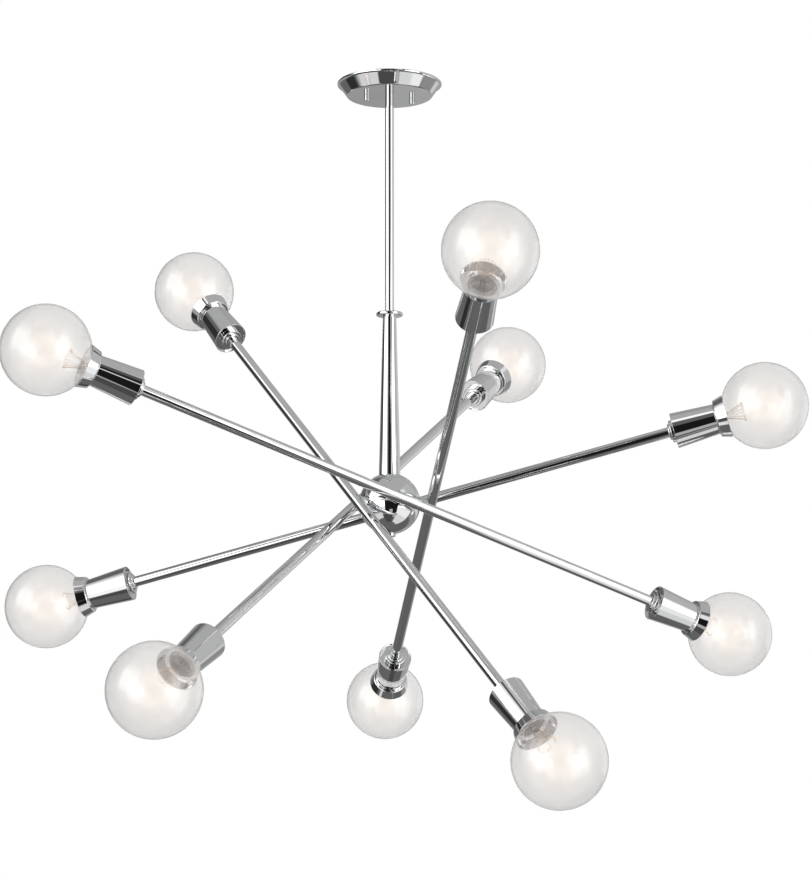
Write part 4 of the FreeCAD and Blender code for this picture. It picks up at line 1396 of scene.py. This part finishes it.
def glass_line(wall):
    """Points from the foot to the far pole, a wall's thickness inside the outer surface."""
    sphere, neck, foot = GLOBE_R - wall, LAMP_NECK_R - wall, GLASS_FOOT_R - wall
    blend = NECK_BLEND + wall
    back = math.sqrt((sphere + blend) ** 2 - (neck + blend) ** 2)
    centre = Vector((GLOBE_CENTRE - back, neck + blend))
    lean = math.atan2(neck + blend, back)
    flare = [Vector((GLASS_FOOT, foot)), Vector((GLASS_FOOT + FOOT_FLARE, neck))]
    line = [flare[0], flare[0].lerp(flare[1], 0.5), flare[0].lerp(flare[1], 0.9)]
    line.append(Vector((GLASS_FOOT + FOOT_FLARE + 1 * MM, neck)))
    line.append(line[-1].lerp(Vector((centre.x, neck)), 0.5))
    for step in range(BLEND_STEPS + 1):
        angle = -math.pi / 2 + (math.pi / 2 - lean) * step / BLEND_STEPS
        line.append(centre + Vector((math.cos(angle), math.sin(angle))) * blend)
    for step in range(1, SPHERE_STEPS + 1):
        angle = (math.pi - lean) * (1 - step / SPHERE_STEPS)
        line.append(Vector((GLOBE_CENTRE + sphere * math.cos(angle), sphere * math.sin(angle))))
    line[-1].y = 0.0
    return line


globe = lathe("globe", glass_line(0) + glass_line(GLASS_WALL)[::-1], LARGE_SEGMENTS)
on_every_arm(globe, "clear_globes", GLASS, "lamp_glass", "globes")

# %% [markdown]
# ## Inside the lamp
# A flared glass stem stands on the lamp's foot.  A spray of fine nickel wires rises from it and
# holds the filament: a fine coil bent round in an open ring.  The spray is one hooked wire copied
# round the stem, and the coil is a helix that follows an arc.

# %% Glass stem
STEM_LENGTH = 40.0 * MM
STEM_TOP = GLASS_FOOT + STEM_LENGTH
mount = lathe("mount", rounded([
    (GLASS_FOOT, 0),
    (GLASS_FOOT, GLASS_FOOT_R - GLASS_WALL, 0.3 * MM),
    (GLASS_FOOT + 1 * MM, GLASS_FOOT_R - GLASS_WALL, 0.5 * MM),
    (GLASS_FOOT + 3 * MM, 6.0 * MM, 1.5 * MM),
    (GLASS_FOOT + 10 * MM, 4.5 * MM, 4.0 * MM),
    (STEM_TOP - 6 * MM, 3.0 * MM, 2.0 * MM),
    (STEM_TOP - 3 * MM, 4.2 * MM, 1.5 * MM),
    (STEM_TOP, 3.4 * MM, 1.4 * MM),
    (STEM_TOP, 0),
]), TINY_SEGMENTS)
on_every_arm(mount, "glass_stems", STEM_GLASS, "lamp_glass")


# %% Trees: wires round a stem, and a coil round an arc
COIL_WIRE_SIDES = 5


def spray_tree():
    """Copies of a piece turned about the lamp's axis, over part of a circle."""
    tree, given, result = geometry_tree("spray round the axis", {
        "Piece": "Object", "Count": "Int", "First angle": "Float", "Sweep": "Float",
        "Material": "Material"})
    line = add(tree, "GeometryNodeMeshLine")
    put(tree, line.inputs["Count"], given["Count"])
    put(tree, line.inputs["Offset"], (0, 0, 0))
    index = add(tree, "GeometryNodeInputIndex").outputs[0]
    gaps = math_node(tree, "SUBTRACT", given["Count"], 1.0)
    angle = math_node(tree, "MULTIPLY", math_node(tree, "DIVIDE", index, gaps), given["Sweep"])
    turn = add(tree, "ShaderNodeCombineXYZ")
    put(tree, turn.inputs["X"], math_node(tree, "ADD", angle, given["First angle"]))
    copies = copies_on(tree, line.outputs["Mesh"], given["Piece"], turn.outputs[0])
    end_tree(tree, copies, given["Material"], result)
    return tree


def coil_tree():
    """Round wire wound as a helix, whose own axis is bent round the lamp's axis."""
    tree, given, result = geometry_tree("coil round an arc", {
        "Points": "Int", "Turns": "Float", "Along": "Float", "Ring radius": "Float",
        "Coil radius": "Float", "Wire radius": "Float", "First angle": "Float",
        "Sweep": "Float", "Material": "Material"})
    line = add(tree, "GeometryNodeMeshLine")
    put(tree, line.inputs["Count"], given["Points"])
    index = add(tree, "GeometryNodeInputIndex").outputs[0]
    share = math_node(tree, "DIVIDE", index, math_node(tree, "SUBTRACT", given["Points"], 1.0))
    angle = math_node(tree, "MULTIPLY_ADD", share, given["Sweep"], given["First angle"])
    whole = math_node(tree, "MULTIPLY", given["Turns"], 2 * math.pi)
    wind = math_node(tree, "MULTIPLY", share, whole)
    swell = math_node(tree, "MULTIPLY", math_node(tree, "COSINE", wind), given["Coil radius"])
    radius = math_node(tree, "ADD", swell, given["Ring radius"])
    rise = math_node(tree, "MULTIPLY", math_node(tree, "SINE", wind), given["Coil radius"])
    place = add(tree, "ShaderNodeCombineXYZ")
    put(tree, place.inputs["X"], math_node(tree, "ADD", rise, given["Along"]))
    for axis, function in (("Y", "COSINE"), ("Z", "SINE")):
        turned = math_node(tree, function, angle)
        put(tree, place.inputs[axis], math_node(tree, "MULTIPLY", radius, turned))
    move = add(tree, "GeometryNodeSetPosition")
    put(tree, move.inputs["Geometry"], line.outputs["Mesh"])
    put(tree, move.inputs["Position"], place.outputs[0])
    curve = add(tree, "GeometryNodeMeshToCurve")
    put(tree, curve.inputs["Mesh"], move.outputs["Geometry"])
    section = add(tree, "GeometryNodeCurvePrimitiveCircle")
    put(tree, section.inputs["Resolution"], COIL_WIRE_SIDES)
    put(tree, section.inputs["Radius"], given["Wire radius"])
    solid = add(tree, "GeometryNodeCurveToMesh")
    put(tree, solid.inputs["Curve"], curve.outputs["Curve"])
    put(tree, solid.inputs["Profile Curve"], section.outputs["Curve"])
    put(tree, solid.inputs["Fill Caps"], True)
    end_tree(tree, solid.outputs["Mesh"], given["Material"], result)
    return tree


# %% Wires and coil
RING_R = 13.0 * MM
RING_ALONG = STEM_TOP + 26.0 * MM
WIRE_COUNT = 14
WIRE_R = 0.22 * MM
COIL_R = 0.7 * MM
COIL_WIRE_R = 0.14 * MM
COIL_TURNS = 44
RING_GAP = math.radians(50)
RING_SWEEP = 2 * math.pi - RING_GAP
POINTS_PER_TURN = 9


def bent_wire(name, points, radius):
    """Round wire that follows points, with its corners eased by a curve."""
    data = bpy.data.curves.new(name, "CURVE")
    data.dimensions = "3D"
    data.bevel_depth = radius
    data.bevel_resolution = 2
    data.use_fill_caps = True
    data.resolution_u = 5
    spline = data.splines.new("NURBS")
    spline.points.add(len(points) - 1)
    for slot, point in zip(spline.points, points):
        slot.co = (*point, 1)
    spline.order_u = 3
    spline.use_endpoint_u = True
    temporary = bpy.data.objects.new(name, data)
    scene.collection.objects.link(temporary)
    mesh = shaped_mesh(temporary)
    bpy.data.objects.remove(temporary)
    bpy.data.curves.remove(data)
    mesh.shade_smooth()
    made = bpy.data.objects.new(name, mesh)
    scene.collection.objects.link(made)
    return made


root = STEM_TOP - 2.0 * MM
hook = COIL_R + 2 * WIRE_R
wire = bent_wire("wire", [
    (root, 2.6 * MM, 0),
    (root + 4 * MM, 4.5 * MM, 0),
    (root + 14 * MM, 8.0 * MM, 0),
    (RING_ALONG - 2 * MM, RING_R - 1.0 * MM, 0),
    (RING_ALONG - hook, RING_R + hook, 0),
    (RING_ALONG + hook, RING_R + hook, 0),
    (RING_ALONG + hook, RING_R - hook, 0),
], WIRE_R)
wires = grown("wires", spray_tree(), {
    "Piece": wire, "Count": WIRE_COUNT, "First angle": RING_GAP / 2, "Sweep": RING_SWEEP,
    "Material": NICKEL})
discard(wire)
on_every_arm(wires, "filament_wires", NICKEL, "filament_mount", "filaments")
coil = grown("coil", coil_tree(), {
    "Points": COIL_TURNS * POINTS_PER_TURN, "Turns": float(COIL_TURNS), "Along": RING_ALONG,
    "Ring radius": RING_R, "Coil radius": COIL_R, "Wire radius": COIL_WIRE_R,
    "First angle": RING_GAP / 2, "Sweep": RING_SWEEP, "Material": TUNGSTEN})
on_every_arm(coil, "filament_coils", TUNGSTEN, "filament_mount")

# %% [markdown]
# ## The pieces that stay as the engineering model drew them
# What is inside the hub and above the canopy is seldom seen, and its drawn shape is already right.
# These pieces only need their finishes.  The hidden originals get one too, so that nothing in the
# file is left bare.

# %% Finish the remaining pieces
FINISHES = {
    "mounting_plate": STEEL,
    "canopy_studs": STEEL,
    "stem_nut": STEEL,
    "hub_nipple": STEEL,
    "friction_screws": STEEL,
    "hub_core": CASTING,
    "supply_leads": SLEEVE,
    "globes": GLASS,
    "lampholders": CERAMIC,
    "lamp_bases": CAP,
    "filaments": NICKEL,
}
for name, node in frame["nodes"].items():
    kind = name if name in FINISHES else name.split("_", 2)[-1]
    node.data.materials.clear()
    node.data.materials.append(FINISHES.get(kind, CHROME))
print("finished", len(frame["nodes"]), "engineering nodes")

# %% [markdown]
# ## The sizes
# The box of the engineering model and the box of the finished pieces are printed side by side.

# %% Print the sizes
VISUAL_BOX = [list(corner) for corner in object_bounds()]
for label, pair in (("cad", CAD_BOX), ("visual", VISUAL_BOX)):
    print(label, [[round(v * 1000, 1) for v in corner] for corner in pair])
